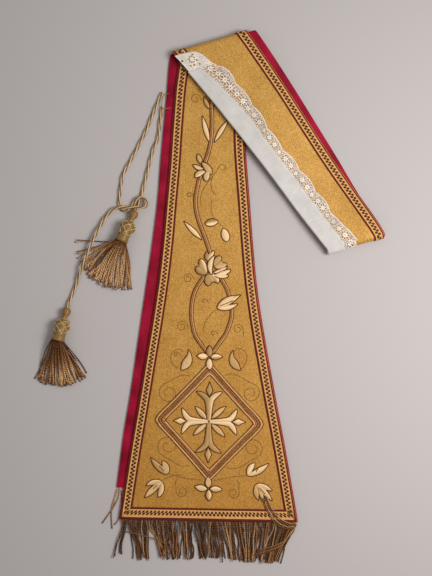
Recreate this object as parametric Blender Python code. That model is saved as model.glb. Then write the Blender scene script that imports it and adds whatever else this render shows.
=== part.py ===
"""Clerical stole of gold cloth, laid down flat: doubled at the neck and folded over at the chest.

Both halves are cut alike. The front half lies face up with its worked end showing. The under half
lies face down below it, so its crimson lining shows along one side. The doubled neck is folded over
the top and comes down to the right, where the under half is on top with its linen collar and lace.

Every cloth piece is first made flat, in the plane of its own cut: x across the stole, y up it from
the front half's wide end, and h up through the pile of cloth. lie_down() then folds and drapes it.
Sizes are in millimetres, and to_metres() turns them into Blender's metres at the end.
"""

import math

import bmesh
import bpy
from mathutils import Matrix, Vector

MM = 0.001

# The box of the stole without its tie is centred on the origin: what is moved there, in mm.
LAYOUT_CENTRE_X = 45.5
LAYOUT_CENTRE_Y = 299.0

# ---------------------------------------------------------------- the cut of one half
# How far from the wide end, and half the width of the cloth there.
CUT = (
    (0, 119.1),
    (54, 110.3),
    (108, 101.2),
    (162, 91.4),
    (216, 82.0),
    (270, 72.8),
    (324, 65.0),
    (378, 59.4),
    (432, 55.0),
    (486, 50.5),
    (540, 47.8),
    (580, 47.4),
    (620, 46.2),
    (660, 44.6),
    (700, 43.2),
    (740, 41.5),
    (810, 38.9),
    (880, 37.6),
    (961, 34.2),
)
# How far up the layout, and how far to the right the half's middle lies there.
FRONT_LIE = (
    (0, -1.0),
    (108, -1.9),
    (216, -2.9),
    (297, -3.0),
    (378, -2.1),
    (459, -1.6),
    (526, -1.0),
    (567, 1.4),
    (612, 6.0),
    (650, 12.0),
    (700, 16.0),
    (754, 18.9),
    (810, 20.1),
    (864, 19.9),
    (900, 19.4),
    (975, 19.5),
)
UNDER_LIE = (
    (43, -6.8),
    (108, -8.6),
    (162, -8.3),
    (243, -9.6),
    (324, -10.8),
    (378, -10.2),
    (432, -9.0),
    (513, -9.2),
    (567, -7.5),
    (612, -5.0),
    (650, 1.0),
    (700, 5.8),
    (754, 9.3),
    (810, 11.8),
    (900, 15.6),
    (975, 19.4),
)
HALVES = {
    "front": {"end": 0.0, "lie": FRONT_LIE, "taken_in": 0.0},
    "under": {"end": 43.0, "lie": UNDER_LIE, "taken_in": 3.0},
}
TAKEN_IN_LENGTH = 300.0  # how far up from the wide end the hand-made halves differ in width
LINING_MARGIN = 1.6  # the lining stands this far past the face's edge
END_LEAN = -1.0  # degrees, of the wide end against straight across
COLUMNS = 5

# ---------------------------------------------------------------- the pile of cloth, by height
FACE_THICK = 1.2
LINING_THICK = 1.0
TRIM_THICK = 0.8
SEAM_GAP = 0.3
UNDER_FACE = (0.0, FACE_THICK)
UNDER_LINING = (UNDER_FACE[1] + SEAM_GAP, UNDER_FACE[1] + SEAM_GAP + LINING_THICK)
FRONT_LINING = (UNDER_LINING[1] + SEAM_GAP, UNDER_LINING[1] + SEAM_GAP + LINING_THICK)
FRONT_FACE = (FRONT_LINING[1] + SEAM_GAP, FRONT_LINING[1] + SEAM_GAP + FACE_THICK)
PILE = FRONT_FACE[1]
ON_FRONT = (PILE + SEAM_GAP, PILE + SEAM_GAP + TRIM_THICK)
ON_UNDER = (-SEAM_GAP, -SEAM_GAP - TRIM_THICK)  # outwards is downwards on the under half

# ---------------------------------------------------------------- the fold at the top
FOLD_X = 10.8
FOLD_Y = 638.0
FOLD_LEAN = math.radians(16.6)
FOLD_AXIS_HEIGHT = 8.0
FOLD_TAKES = 17.0  # cloth taken up by the turn, at the middle of the pile
FOLD_STEPS = 8
SETTLE = 3.0  # how far the folded neck sinks onto the front
SETTLE_LENGTH = 60.0
RAMP_FROM = 62.0  # past the front's right edge the neck comes down to the floor
RAMP_LENGTH = 120.0

# ---------------------------------------------------------------- the fold at the neck
NECK_X = 197.5
NECK_Y = 376.4
NECK_LEAN = math.radians(15.8)
NECK_SPRING = 7.0  # the soft fold holds the two halves this far apart
NECK_SPRING_LENGTH = 95.0
NECK_STEPS = 8
SEAM_BACK = 15.0  # the neck seam lies this far back underneath

# Rows of the cloth, as how far up the middle each one crosses the layout.
MAIN_ROWS = (55, 110, 165, 220, 275, 330, 385, 440, 495, 550, 600)
LEAN_FROM = 330.0
LEAN_TO = 600.0
NECK_ROWS = 13

# ---------------------------------------------------------------- trimmings
GALLOON_WIDTH = 13.4
GALLOON_INSET = 0.6
COLLAR_WIDTHS = ((0, 22.0), (200, 20.0), (330, 16.5))  # past the fold, and how wide the linen is
COLLAR_START = 16.0
COLLAR_THICK = 1.0
COLLAR_LIP = 2.3
LACE_WIDTH = 14.0
LACE_START = 3.5
SCALLOP_LENGTH = 33.0
SCALLOP_DEPTH = 4.0
SCALLOP_SHIFT = 6.0
LACE_STEP = 5.5
LACE_END_ROWS = 4
LACE_HOLE = 2.6  # radius
LACE_HOLE_STEP = 11.0
LACE_HOLE_PLACE = 0.45  # across the lace, from the linen
# How far round its fold a trimming can go before it would meet the floor, in degrees.
TOP_TRIM_FROM = 36.0
TOP_TRIM_ROW = 2  # the first row of the fold past that
NECK_TRIM_TO = 128.0

# ---------------------------------------------------------------- colours: red, green, blue
GOLD = (0.56, 0.36, 0.10)
CRIMSON = (0.31, 0.003, 0.025)
PEACH = (0.80, 0.46, 0.19)
LINEN = (0.78, 0.79, 0.80)
ECRU = (0.74, 0.68, 0.58)
BRONZE = (0.20, 0.12, 0.045)
CORD_GOLD = (0.36, 0.23, 0.09)


def read(table, at):
    """The value at one place on a smooth curve through a table's rows."""
    if at <= table[0][0]:
        return table[0][1]
    if at >= table[-1][0]:
        return table[-1][1]
    last = len(table) - 1
    i = next(k for k in range(last) if at <= table[k + 1][0])
    (x0, y0), (x1, y1) = table[i], table[i + 1]
    before, after = table[max(i - 1, 0)], table[min(i + 2, last)]
    length = x1 - x0
    slope0 = (y1 - before[1]) / (x1 - before[0])
    slope1 = (after[1] - y0) / (after[0] - x0)
    t = (at - x0) / length
    return (
        y0 * (1 + 2 * t) * (1 - t) ** 2
        + slope0 * length * t * (1 - t) ** 2
        + y1 * t * t * (3 - 2 * t)
        - slope1 * length * t * t * (1 - t)
    )


def eased(t):
    """0 before 0, 1 after 1, and a smooth rise between."""
    t = min(max(t, 0.0), 1.0)
    return t * t * (3 - 2 * t)


def along(lean):
    return Vector((math.cos(lean), math.sin(lean)))


def across(lean):
    return Vector((-math.sin(lean), math.cos(lean)))


# ---------------------------------------------------------------- laying the flat cut down
FOLD_POINT = Vector((FOLD_X, FOLD_Y))
FOLD_ALONG, FOLD_OUT = along(FOLD_LEAN), across(FOLD_LEAN)
NECK_POINT = Vector((NECK_X, NECK_Y))
NECK_ALONG, NECK_OUT = along(NECK_LEAN), -across(NECK_LEAN)
NECK_TOP = PILE + NECK_SPRING
NECK_AXIS_HEIGHT = NECK_TOP / 2
NECK_TAKES = math.pi * (NECK_AXIS_HEIGHT - UNDER_LINING[0])


def folded_over(flat):
    """Where a point of the flat cut beyond the top fold comes down, seen from above."""
    d = flat - FOLD_POINT
    return (
        FOLD_POINT
        + FOLD_ALONG * d.dot(FOLD_ALONG)
        - FOLD_OUT * (d.dot(FOLD_OUT) - FOLD_TAKES)
    )


def unfolded(laid):
    """The point of the flat cut that comes down there: the same mirror, back again."""
    d = laid - FOLD_POINT
    return (
        FOLD_POINT
        + FOLD_ALONG * d.dot(FOLD_ALONG)
        + FOLD_OUT * (FOLD_TAKES - d.dot(FOLD_OUT))
    )


def neck_base(past_fold, x):
    """The height of the folded neck's lowest layer."""
    start = 2 * FOLD_AXIS_HEIGHT - PILE
    on_front = start - SETTLE * eased(past_fold / SETTLE_LENGTH)
    return on_front * (1 - eased((x - RAMP_FROM) / RAMP_LENGTH))


def lie_down(point):
    """A point of the flat cut (x, y, h) where it lies in the folded stole."""
    flat, h = Vector((point[0], point[1])), point[2]
    past = (flat - FOLD_POINT).dot(FOLD_OUT)
    if past <= 0:
        return Vector((flat.x, flat.y, h))
    if past < FOLD_TAKES:
        turn = math.pi * past / FOLD_TAKES
        radius = FOLD_AXIS_HEIGHT - h
        spot = (
            FOLD_POINT
            + FOLD_ALONG * (flat - FOLD_POINT).dot(FOLD_ALONG)
            + FOLD_OUT * radius * math.sin(turn)
        )
        return Vector((spot.x, spot.y, FOLD_AXIS_HEIGHT - radius * math.cos(turn)))
    spot = folded_over(flat)
    past_neck = (spot - NECK_POINT).dot(NECK_OUT)
    on_top = h < (UNDER_LINING[1] + FRONT_LINING[0]) / 2
    if past_neck > 0 and on_top:
        radius = NECK_AXIS_HEIGHT - h
        edge = spot - NECK_OUT * past_neck
        if past_neck < NECK_TAKES:
            turn = math.pi * past_neck / NECK_TAKES
            spot = edge + NECK_OUT * radius * math.sin(turn)
            return Vector((spot.x, spot.y, NECK_AXIS_HEIGHT + radius * math.cos(turn)))
        spot = edge - NECK_OUT * (past_neck - NECK_TAKES)
        return Vector((spot.x, spot.y, NECK_AXIS_HEIGHT - radius))
    height = neck_base(past - FOLD_TAKES, spot.x) + PILE - h
    if on_top:
        height += NECK_SPRING * eased(1 + past_neck / NECK_SPRING_LENGTH)
    return Vector((spot.x, spot.y, height))


# ---------------------------------------------------------------- rows across the cut
def half_width(half, y):
    up = y - HALVES[half]["end"]
    return read(CUT, up) - HALVES[half]["taken_in"] * (1 - eased(up / TAKEN_IN_LENGTH))


def crossing(half, side, y_middle, lean):
    """Where a row across the cut meets the half's left (-1) or right (1) edge."""
    lie = HALVES[half]["lie"]
    x, y = 0.0, y_middle
    for _ in range(12):
        x = read(lie, y) + side * half_width(half, y)
        y = y_middle + math.tan(lean) * (x - FOLD_X)
    return Vector((x, y))


def lean_at(y):
    """Rows lie straight across the wide end and turn to run along the top fold."""
    if y < MAIN_ROWS[1]:
        return math.radians(END_LEAN) * (1 - y / MAIN_ROWS[1])
    return FOLD_LEAN * eased((y - LEAN_FROM) / (LEAN_TO - LEAN_FROM))


def fold_row(past):
    return FOLD_Y + past / math.cos(FOLD_LEAN), FOLD_LEAN


def neck_line():
    """The neck fold, as a row of the flat cut: (y at the middle, lean)."""
    start = unfolded(NECK_POINT)
    step = unfolded(NECK_POINT + NECK_ALONG) - start
    lean = math.atan2(step.y, step.x)
    return start.y - math.tan(lean) * (start.x - FOLD_X), lean


def main_rows(half):
    end = HALVES[half]["end"]
    first = [(end, lean_at(end))]
    return first + [(y, lean_at(y)) for y in MAIN_ROWS if y > end + 30]


def turn_rows():
    return [fold_row(FOLD_TAKES * i / FOLD_STEPS) for i in range(FOLD_STEPS + 1)]


def neck_rows(from_past):
    """Rows from that far past the top fold, without the first, to the neck fold."""
    y0, lean0 = fold_row(from_past)
    y1, lean1 = neck_line()
    shares = [(i + 1) / NECK_ROWS for i in range(NECK_ROWS)]
    return [(y0 + (y1 - y0) * t, lean0 + (lean1 - lean0) * t) for t in shares]


def edge_pairs(half, rows):
    """The two ends of each row, on the half's edges."""
    return [[crossing(half, side, y, lean) for side in (-1, 1)] for y, lean in rows]


def past_neck_pairs(turns, back):
    """Rows of the under half past the neck fold, as ends on its edges in the flat cut."""
    pairs = []
    y_neck, lean = neck_line()
    here = [folded_over(crossing("under", side, y_neck, lean)) for side in (-1, 1)]
    y_seam = y_neck - SEAM_BACK / math.cos(lean)
    seam = [folded_over(crossing("front", side, y_seam, lean)) for side in (-1, 1)]
    for turn in turns:
        shift = NECK_TAKES * turn / 180.0
        pairs.append([unfolded(p + NECK_OUT * shift) for p in here])
    if back:
        ends = []
        for a, b in zip(here, seam):
            slide = NECK_ALONG * (b - a).dot(NECK_ALONG)
            ends.append(unfolded(a + slide + NECK_OUT * (NECK_TAKES + SEAM_BACK)))
        pairs.append(ends)
    return pairs


def neck_turns(to=180.0):
    count = round(NECK_STEPS * to / 180.0)
    return [to * (i + 1) / count for i in range(count)]


def on_cloth(a, b, share, h):
    """A point that share of the way across one row, laid down.

    It lies on the straight run between two columns of the panel, as the panel itself does.
    """
    column = min(max(int(share * COLUMNS), 0), COLUMNS - 1)
    run = share * COLUMNS - column
    p, q = a.lerp(b, column / COLUMNS), a.lerp(b, (column + 1) / COLUMNS)
    return lie_down((p.x, p.y, h)).lerp(lie_down((q.x, q.y, h)), run)


def rows_on_cloth(left, right, shares, h):
    """One row of laid points for each row of the cut; h is one height or one for each share."""
    heights = h if isinstance(h, tuple) else (h,) * len(shares[0])
    return [
        [on_cloth(a, b, share, height) for share, height in zip(row, heights)]
        for a, b, row in zip(left, right, shares)
    ]


def share_in(edge, other, i, distance):
    """How far across row i a point is that lies that far in from the edge."""
    step = other[i] - edge[i]
    tangent = edge[min(i + 1, len(edge) - 1)] - edge[max(i - 1, 0)]
    return distance / abs(step.normalized().cross(tangent.normalized())) / step.length


# ---------------------------------------------------------------- making solids
def material(name, colour, roughness, metallic=0.0):
    found = bpy.data.materials.get(name)
    if found:
        return found
    made = bpy.data.materials.new(name)
    made.use_nodes = True
    shader = made.node_tree.nodes["Principled BSDF"]
    shader.inputs["Base Color"].default_value = (*colour, 1.0)
    shader.inputs["Roughness"].default_value = roughness
    shader.inputs["Metallic"].default_value = metallic
    return made


def to_metres(point):
    return Vector(
        (
            (point[0] - LAYOUT_CENTRE_X) * MM,
            (point[1] - LAYOUT_CENTRE_Y) * MM,
            point[2] * MM,
        )
    )


def finish(name, bm, finish_of, collection, smooth=False):
    """Turns a mesh in laid millimetres into an object in metres."""
    for v in bm.verts:
        v.co = to_metres(v.co)
    bmesh.ops.recalc_face_normals(bm, faces=bm.faces[:])
    if bm.calc_volume(signed=True) < 0:
        bmesh.ops.reverse_faces(bm, faces=bm.faces[:])
    mesh = bpy.data.meshes.new(name)
    bm.to_mesh(mesh)
    bm.free()
    if smooth:
        mesh.shade_smooth()
        mesh.set_sharp_from_angle(angle=math.radians(50))
    if finish_of:
        mesh.materials.append(finish_of)
    made = bpy.data.objects.new(name, mesh)
    collection.objects.link(made)
    return made


def cloth(name, inner, outer, finish_of, collection):
    """A wall between two surfaces, each given as rows of laid points."""
    bm = bmesh.new()
    spot = bm.verts.layers.int.new("spot")
    columns, rows = len(inner[0]) - 1, len(inner) - 1
    bmesh.ops.create_grid(bm, x_segments=columns, y_segments=rows, size=0.5)
    for v in bm.verts:
        v[spot] = round((v.co.y + 0.5) * rows) * (columns + 1) + round((v.co.x + 0.5) * columns)
    new = bmesh.ops.extrude_face_region(bm, geom=bm.faces[:])["geom"]
    raised = {v for v in new if isinstance(v, bmesh.types.BMVert)}
    for v in bm.verts:
        row, column = divmod(v[spot], columns + 1)
        v.co = (outer if v in raised else inner)[row][column]
    return finish(name, bm, finish_of, collection)


# ---------------------------------------------------------------- faces and linings
def neck_panel_rows():
    """Rows that every piece of the neck shares: the trimmings' ends, then evenly to its fold."""
    starts = (LACE_START, COLLAR_START - SEAM_GAP, COLLAR_START)
    from_past = FOLD_TAKES + COLLAR_START
    return [fold_row(FOLD_TAKES + start) for start in starts] + neck_rows(from_past)


def panel_pairs(half):
    """All rows of one half's cloth, from its wide end to the neck seam."""
    rows = main_rows(half) + turn_rows() + neck_panel_rows()
    if half == "under":
        return edge_pairs(half, rows) + past_neck_pairs(neck_turns(), back=True)
    y_neck, lean = neck_line()
    seam = (y_neck - (SEAM_BACK + SEAM_GAP) / math.cos(lean), lean)
    return edge_pairs(half, rows[:-1] + [seam])


def make_panels(collection):
    gold = material("gold_cloth", GOLD, 0.55)
    crimson = material("crimson_lining", CRIMSON, 0.6)
    for name, half, margin, heights, colour in (
        ("face_front", "front", 0.0, FRONT_FACE, gold),
        ("lining_front", "front", LINING_MARGIN, FRONT_LINING, crimson),
        ("lining_under", "under", LINING_MARGIN, UNDER_LINING, crimson),
        ("face_under", "under", 0.0, UNDER_FACE, gold),
    ):
        left, right = (list(side) for side in zip(*panel_pairs(half)))
        shares = []
        for i in range(len(left)):
            out = share_in(left, right, i, margin)
            inside = [k / COLUMNS for k in range(1, COLUMNS)]
            shares.append([-out, *inside, 1 + out])
        low, high = (rows_on_cloth(left, right, shares, h) for h in heights)
        cloth(name, low, high, colour, collection)


# ---------------------------------------------------------------- galloon
def inset(edge, other, i, distance):
    """A point inside the edge by that distance, on row i."""
    return edge[i].lerp(other[i], share_in(edge, other, i, distance))


def galloon_front(collection):
    """One strip down the left edge, across the wide end and up the right edge, mitred."""
    rows = main_rows("front") + [fold_row(-2.0)]
    left, right = (list(side) for side in zip(*edge_pairs("front", rows)))
    inner = GALLOON_INSET + GALLOON_WIDTH
    ribbon = []
    for edge, other, order in ((left, right, reversed), (right, left, iter)):
        run = [
            [inset(edge, other, i, GALLOON_INSET), inset(edge, other, i, inner)]
            for i in range(1, len(edge))
        ]
        corner = []
        for depth in (GALLOON_INSET, inner):
            ends = [crossing("front", s, depth, lean_at(0)) for s in (-1, 1)]
            start, stop = ends if edge is left else reversed(ends)
            corner.append(start + (stop - start).normalized() * depth)
        run.insert(0, corner)
        ribbon += list(order(run))
    low, high = ([[(p.x, p.y, h) for p in row] for row in ribbon] for h in ON_FRONT)
    return cloth("galloon_front", low, high, material("galloon", PEACH, 0.5), collection)


def trim_edges():
    """The under half's edges, row by row, where its trimmings show over both folds."""
    first = TOP_TRIM_FROM / 180.0 * FOLD_TAKES
    turn = [fold_row(first)] + turn_rows()[TOP_TRIM_ROW:]
    pairs = edge_pairs("under", turn + neck_panel_rows())
    pairs += past_neck_pairs(neck_turns(NECK_TRIM_TO), back=False)
    return [list(side) for side in zip(*pairs)]


def galloon_run(name, left, right, edge, collection):
    """A strip along one edge of the under half."""
    other = right if edge is left else left
    shares = []
    for i in range(len(edge)):
        row = [share_in(edge, other, i, d) for d in (GALLOON_INSET, GALLOON_INSET + GALLOON_WIDTH)]
        shares.append(row if edge is left else [1 - share for share in row])
    low, high = (rows_on_cloth(left, right, shares, h) for h in ON_UNDER)
    return cloth(name, low, high, material("galloon", PEACH, 0.5), collection)


def galloons_neck(collection):
    left, right = trim_edges()
    galloon_run("galloon_neck", left, right, right, collection)
    short = FOLD_STEPS - TOP_TRIM_ROW + 2
    left, right = left[:short], right[:short]
    galloon_run("galloon_fold", left, right, left, collection)


# ---------------------------------------------------------------- collar and lace
def collar_width(past):
    return read(COLLAR_WIDTHS, past)


def past_fold(flat):
    return (flat - FOLD_POINT).dot(FOLD_OUT) - FOLD_TAKES


def neck_edges(skip):
    """The under half's edges along the neck, without its first few rows, to past its fold."""
    pairs = edge_pairs("under", neck_panel_rows()[skip:])
    pairs += past_neck_pairs(neck_turns(NECK_TRIM_TO), back=False)
    return [list(side) for side in zip(*pairs)]


def collar(collection):
    """The linen band along the neck's inner edge, with a lip down over that edge."""
    left, right = neck_edges(2)
    near, far = -SEAM_GAP, -SEAM_GAP - COLLAR_THICK
    lip = LINING_MARGIN + SEAM_GAP
    sides = []
    for out, height in ((lip, near), (lip + COLLAR_THICK, far)):
        shares = []
        for i, edge in enumerate(left):
            width = share_in(left, right, i, collar_width(past_fold(edge)))
            over = -share_in(left, right, i, out)
            shares.append([width, over, over])
        sides.append(rows_on_cloth(left, right, shares, (height, height, COLLAR_LIP)))
    return cloth("collar", *sides, material("linen", LINEN, 0.8), collection)


def scallop(distance):
    """How much narrower the lace is at one place along its scalloped edge."""
    return SCALLOP_DEPTH * (1 - abs(math.sin(math.pi * distance / SCALLOP_LENGTH)))


def lace_rows():
    """Rows along the lace: the place past the fold, and the points under it and on it."""
    left, right = neck_edges(0)
    shares = []
    for i, edge in enumerate(left):
        width = collar_width(past_fold(edge))
        ends = (width + SEAM_GAP, width + LACE_WIDTH)
        shares.append([share_in(left, right, i, d) for d in ends])
    under, on = (rows_on_cloth(left, right, shares, h) for h in ON_UNDER)
    rows = []
    for i in range(len(left) - 1):
        count = max(1, round((left[i + 1] - left[i]).length / LACE_STEP))
        for k in range(count + (i == len(left) - 2)):
            past = past_fold(left[i].lerp(left[i + 1], k / count))
            reach = 1 - scallop(past + SCALLOP_SHIFT) / LACE_WIDTH
            row = []
            for side in (under, on):
                root, tip = (side[i][e].lerp(side[i + 1][e], k / count) for e in (0, 1))
                row.append([root.lerp(tip, reach * t) for t in (0.0, 0.5, 1.0)])
            rows.append((past, *row))
    return rows


def lace_end(collection):
    """The lace across the collar's short top end."""
    left, right = neck_edges(0)
    width = collar_width(0)
    sides = []
    for h in ON_UNDER:
        side = []
        for i in range(LACE_END_ROWS + 1):
            inward = width * i / LACE_END_ROWS
            side.append(
                [
                    on_cloth(left[row], right[row], share_in(left, right, row, inward), h)
                    for row in (1, 0)
                ]
            )
        sides.append(side)
    return cloth("collar_lace_end", *sides, material("lace", ECRU, 0.85), collection)


def prism(name, centre, radius, sides, height, collection):
    """An upright cutter, made as a cylinder primitive."""
    bm = bmesh.new()
    bmesh.ops.create_cone(
        bm, cap_ends=True, segments=sides, radius1=radius, radius2=radius, depth=height
    )
    bmesh.ops.translate(bm, verts=bm.verts[:], vec=centre)
    return finish(name, bm, None, collection)


def boolean(target, others, operation):
    made = target.modifiers.new(operation.lower(), "BOOLEAN")
    made.operation = operation
    made.operand_type = "COLLECTION"
    made.collection = others
    made.solver = "EXACT"
    return made


def hidden(collection):
    for obj in collection.objects:
        obj.hide_render = True
        obj.display_type = "WIRE"


def lace(collection, cutters):
    """The scalloped lace along the collar's inner edge, pierced between its flowers."""
    rows = lace_rows()
    sides = [[row[side] for row in rows] for side in (1, 2)]
    made = cloth("collar_lace", *sides, material("lace", ECRU, 0.85), collection)
    next_hole = COLLAR_START + LACE_HOLE_STEP / 2
    last = past_fold(unfolded(NECK_POINT)) - LACE_HOLE_STEP
    for past, under, on in rows:
        if next_hole <= past <= last:
            middle = under[0].lerp(under[2], LACE_HOLE_PLACE)
            prism(f"hole_{past:.0f}", middle, LACE_HOLE, 6, 12.0, cutters)
            next_hole = past + LACE_HOLE_STEP
    hidden(cutters)
    boolean(made, cutters, "DIFFERENCE")
    return made


# ---------------------------------------------------------------- raised goldwork
RAISE = 1.3  # padded satin stitch above the cloth
ROOT = 0.7  # and into it
RAISE_STEP = 0.004
ROOT_STEP = 0.002
EDGE_ROUND = 0.7
STEM_WIDTH = 5.4
STEM_RAISE = 0.9
STEM_STEP = 11.0
CROSS = (-0.1, 133.0)
LOZENGE = (0.7, 132.3)
LOZENGE_TURN = -1.2
LOZENGE_RIBS = ((67.0, 70.0), (58.5, 61.5))  # half across and half up, each rib
# Middle x and y, length, width, and the way the point looks in degrees.
LEAVES = (
    (-66.6, 72.2, 31.0, 13.0, 141.0),
    (-74.7, 42.8, 31.0, 14.0, 222.0),
    (66.6, 68.2, 31.0, 13.0, 31.0),
    (73.7, 37.8, 31.0, 14.0, -48.0),
    (-21.6, 391.9, 34.0, 8.5, 135.0),
    (25.7, 295.7, 36.0, 16.0, 32.0),
    (3.2, 401.4, 16.5, 11.5, 10.0),
    (22.1, 385.0, 17.0, 11.5, -62.0),
    (-3.8, 527.3, 35.0, 9.0, 108.0),
    (16.9, 525.7, 34.0, 9.0, 56.0),
    (-6.5, 569.0, 21.0, 7.5, 118.0),
)
# Middle x and y, length, width, and which way the hooked tip turns.
TEARS = ((-32.0, 216.5, 28.0, 14.0, 1), (33.0, 214.7, 28.0, 14.0, -1))
TEAR_SIDES = 11
QUATREFOILS = ((1.0, 219.6), (-0.5, 42.8))
SHORT_LEAF = 18.0
RAY = (20.0, 8.0)  # length and width of the cross's four rays
PETAL_LENGTH = 15.5
PETAL_WIDTH = 8.6
# Petals of the two flowers: the flower's middle, then length, width and angle of each petal.
FLOWERS = (
    ((5.8, 341.5), ((19, 12, 98), (18, 13, 160), (18, 13, 262), (19, 12, 322), (20, 12, 8), (17, 12, 52))),
    ((-8.2, 472.0), ((15, 9, 112), (16, 8, 150), (14, 9, 205), (12, 10, 330))),
)
# Where each stem runs, as x and y.
STEMS = (
    ((-2.5, 227.0), (-11.0, 238.0), (-20.0, 254.0), (-23.6, 281.0), (-19.2, 308.0), (-7.0, 328.0)),
    ((5.0, 227.0), (14.5, 240.0), (24.7, 256.0), (30.8, 280.0), (26.0, 307.0), (17.0, 325.0)),
    ((1.5, 361.0), (-6.2, 383.4), (-14.9, 407.3), (-18.2, 430.0), (-13.6, 457.0), (-10.0, 466.0)),
    ((-5.0, 482.0), (1.5, 505.0), (4.0, 530.0), (3.6, 553.0), (3.0, 571.0)),
)


def leaf_outline(length, width):
    """A leaf from its foot at (0, 0) along +x, as one side out and the other back."""
    points = 3 if length < SHORT_LEAF else 5
    side = [
        (length * i / points, width / 2 * math.sin(math.pi * (i / points) ** 0.85))
        for i in range(1, points)
    ]
    return [(0.0, 0.0)] + [(x, -y) for x, y in side] + [(length, 0.0)] + side[::-1]


def tear_outline(length, width, turn):
    """A drop whose slimmer end leans over to one side."""
    ring = []
    for i in range(TEAR_SIDES):
        angle = 2 * math.pi * i / TEAR_SIDES
        slim = 0.66 + 0.34 * math.cos(angle)
        x = length / 2 * -math.cos(angle)
        lean = turn * 0.5 * width * max(0.0, x / length) ** 1.5
        ring.append((x, width / 2 * math.sin(angle) * slim + lean))
    return ring


def arm_outline(length):
    """An arm of the cross along +x: a slim shaft that ends in two lobes curled outwards."""
    side = (
        (0.04, 0.8),
        (0.30, 1.4),
        (0.50, 3.2),
        (0.62, 7.0),
        (0.66, 11.0),
        (0.78, 13.2),
        (0.86, 10.4),
        (0.80, 5.2),
        (0.72, 1.6),
    )
    upper = [(length * x, y) for x, y in side]
    return [(x, -y) for x, y in upper] + upper[::-1]


def as_mesh(curve, name):
    """A curve's solid as a mesh with its caps welded; the curve is removed."""
    guide = bpy.data.objects.new(name + "_route", curve)
    bpy.context.scene.collection.objects.link(guide)
    bpy.context.view_layer.update()
    graph = bpy.context.evaluated_depsgraph_get()
    mesh = bpy.data.meshes.new_from_object(guide.evaluated_get(graph))
    bm = bmesh.new()
    bm.from_mesh(mesh)
    bpy.data.objects.remove(guide)
    bpy.data.meshes.remove(mesh)
    bmesh.ops.remove_doubles(bm, verts=bm.verts[:], dist=0.001)
    return bm


def padded(name, outline, x, y, angle, collection):
    """A padded shape standing on the front face and rooted in it, rounded at its edge.

    Each stands a little higher than the one before, so that no two tops lie in one plane.
    """
    root = PILE - ROOT - ROOT_STEP * len(collection.objects)
    top = PILE + RAISE + RAISE_STEP * len(collection.objects)
    curve = bpy.data.curves.new(name, "CURVE")
    curve.dimensions = "2D"
    curve.fill_mode = "BOTH"
    curve.bevel_depth = EDGE_ROUND
    curve.bevel_resolution = 0
    curve.offset = -EDGE_ROUND
    curve.extrude = (top - root) / 2 - EDGE_ROUND
    spline = curve.splines.new("POLY")
    spline.points.add(len(outline) - 1)
    spline.use_cyclic_u = True
    for spot, (px, py) in zip(spline.points, outline):
        spot.co = (px, py, 0.0, 1.0)
    bm = as_mesh(curve, name)
    turn = Matrix.Rotation(math.radians(angle), 4, "Z")
    bmesh.ops.transform(bm, matrix=turn, verts=bm.verts[:])
    bmesh.ops.translate(bm, verts=bm.verts[:], vec=(x, y, (root + top) / 2))
    return finish(name, bm, None, collection)


def smooth_route(points, step):
    """Points about a step apart on a smooth curve through a list of points."""
    route = []
    for i in range(len(points) - 1):
        a, b = Vector(points[i]), Vector(points[i + 1])
        before = Vector(points[max(i - 1, 0)])
        after = Vector(points[min(i + 2, len(points) - 1)])
        count = max(1, round((b - a).length / step))
        for k in range(count):
            t = k / count
            route.append(
                (
                    2 * a
                    + (b - before) * t
                    + (2 * before - 5 * a + 4 * b - after) * t**2
                    + (3 * a - before - 3 * b + after) * t**3
                )
                / 2
            )
    route.append(Vector(points[-1]))
    return route


def tube(name, route, radius, resolution, closed, finish_of, collection, flatten=None):
    """A round bar along a route, as a curve turned into a mesh with its caps welded."""
    curve = bpy.data.curves.new(name, "CURVE")
    curve.dimensions = "3D"
    curve.bevel_depth = radius
    curve.bevel_resolution = resolution
    curve.use_fill_caps = not closed
    spline = curve.splines.new("POLY")
    spline.points.add(len(route) - 1)
    spline.use_cyclic_u = closed
    for spot, p in zip(spline.points, route):
        spot.co = (p[0], p[1], p[2], 1.0)
    bm = as_mesh(curve, name)
    if flatten:
        middle, height = flatten
        for v in bm.verts:
            v.co.z = middle + (v.co.z - middle) * height / radius
    return finish(name, bm, finish_of, collection, smooth=True)


def stem(name, route, closed, collection):
    middle = PILE - 0.1
    spots = [(p[0], p[1], middle) for p in route]
    half = STEM_WIDTH / 2
    return tube(name, spots, half, 1, closed, None, collection, (middle, STEM_RAISE + 0.1))


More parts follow.
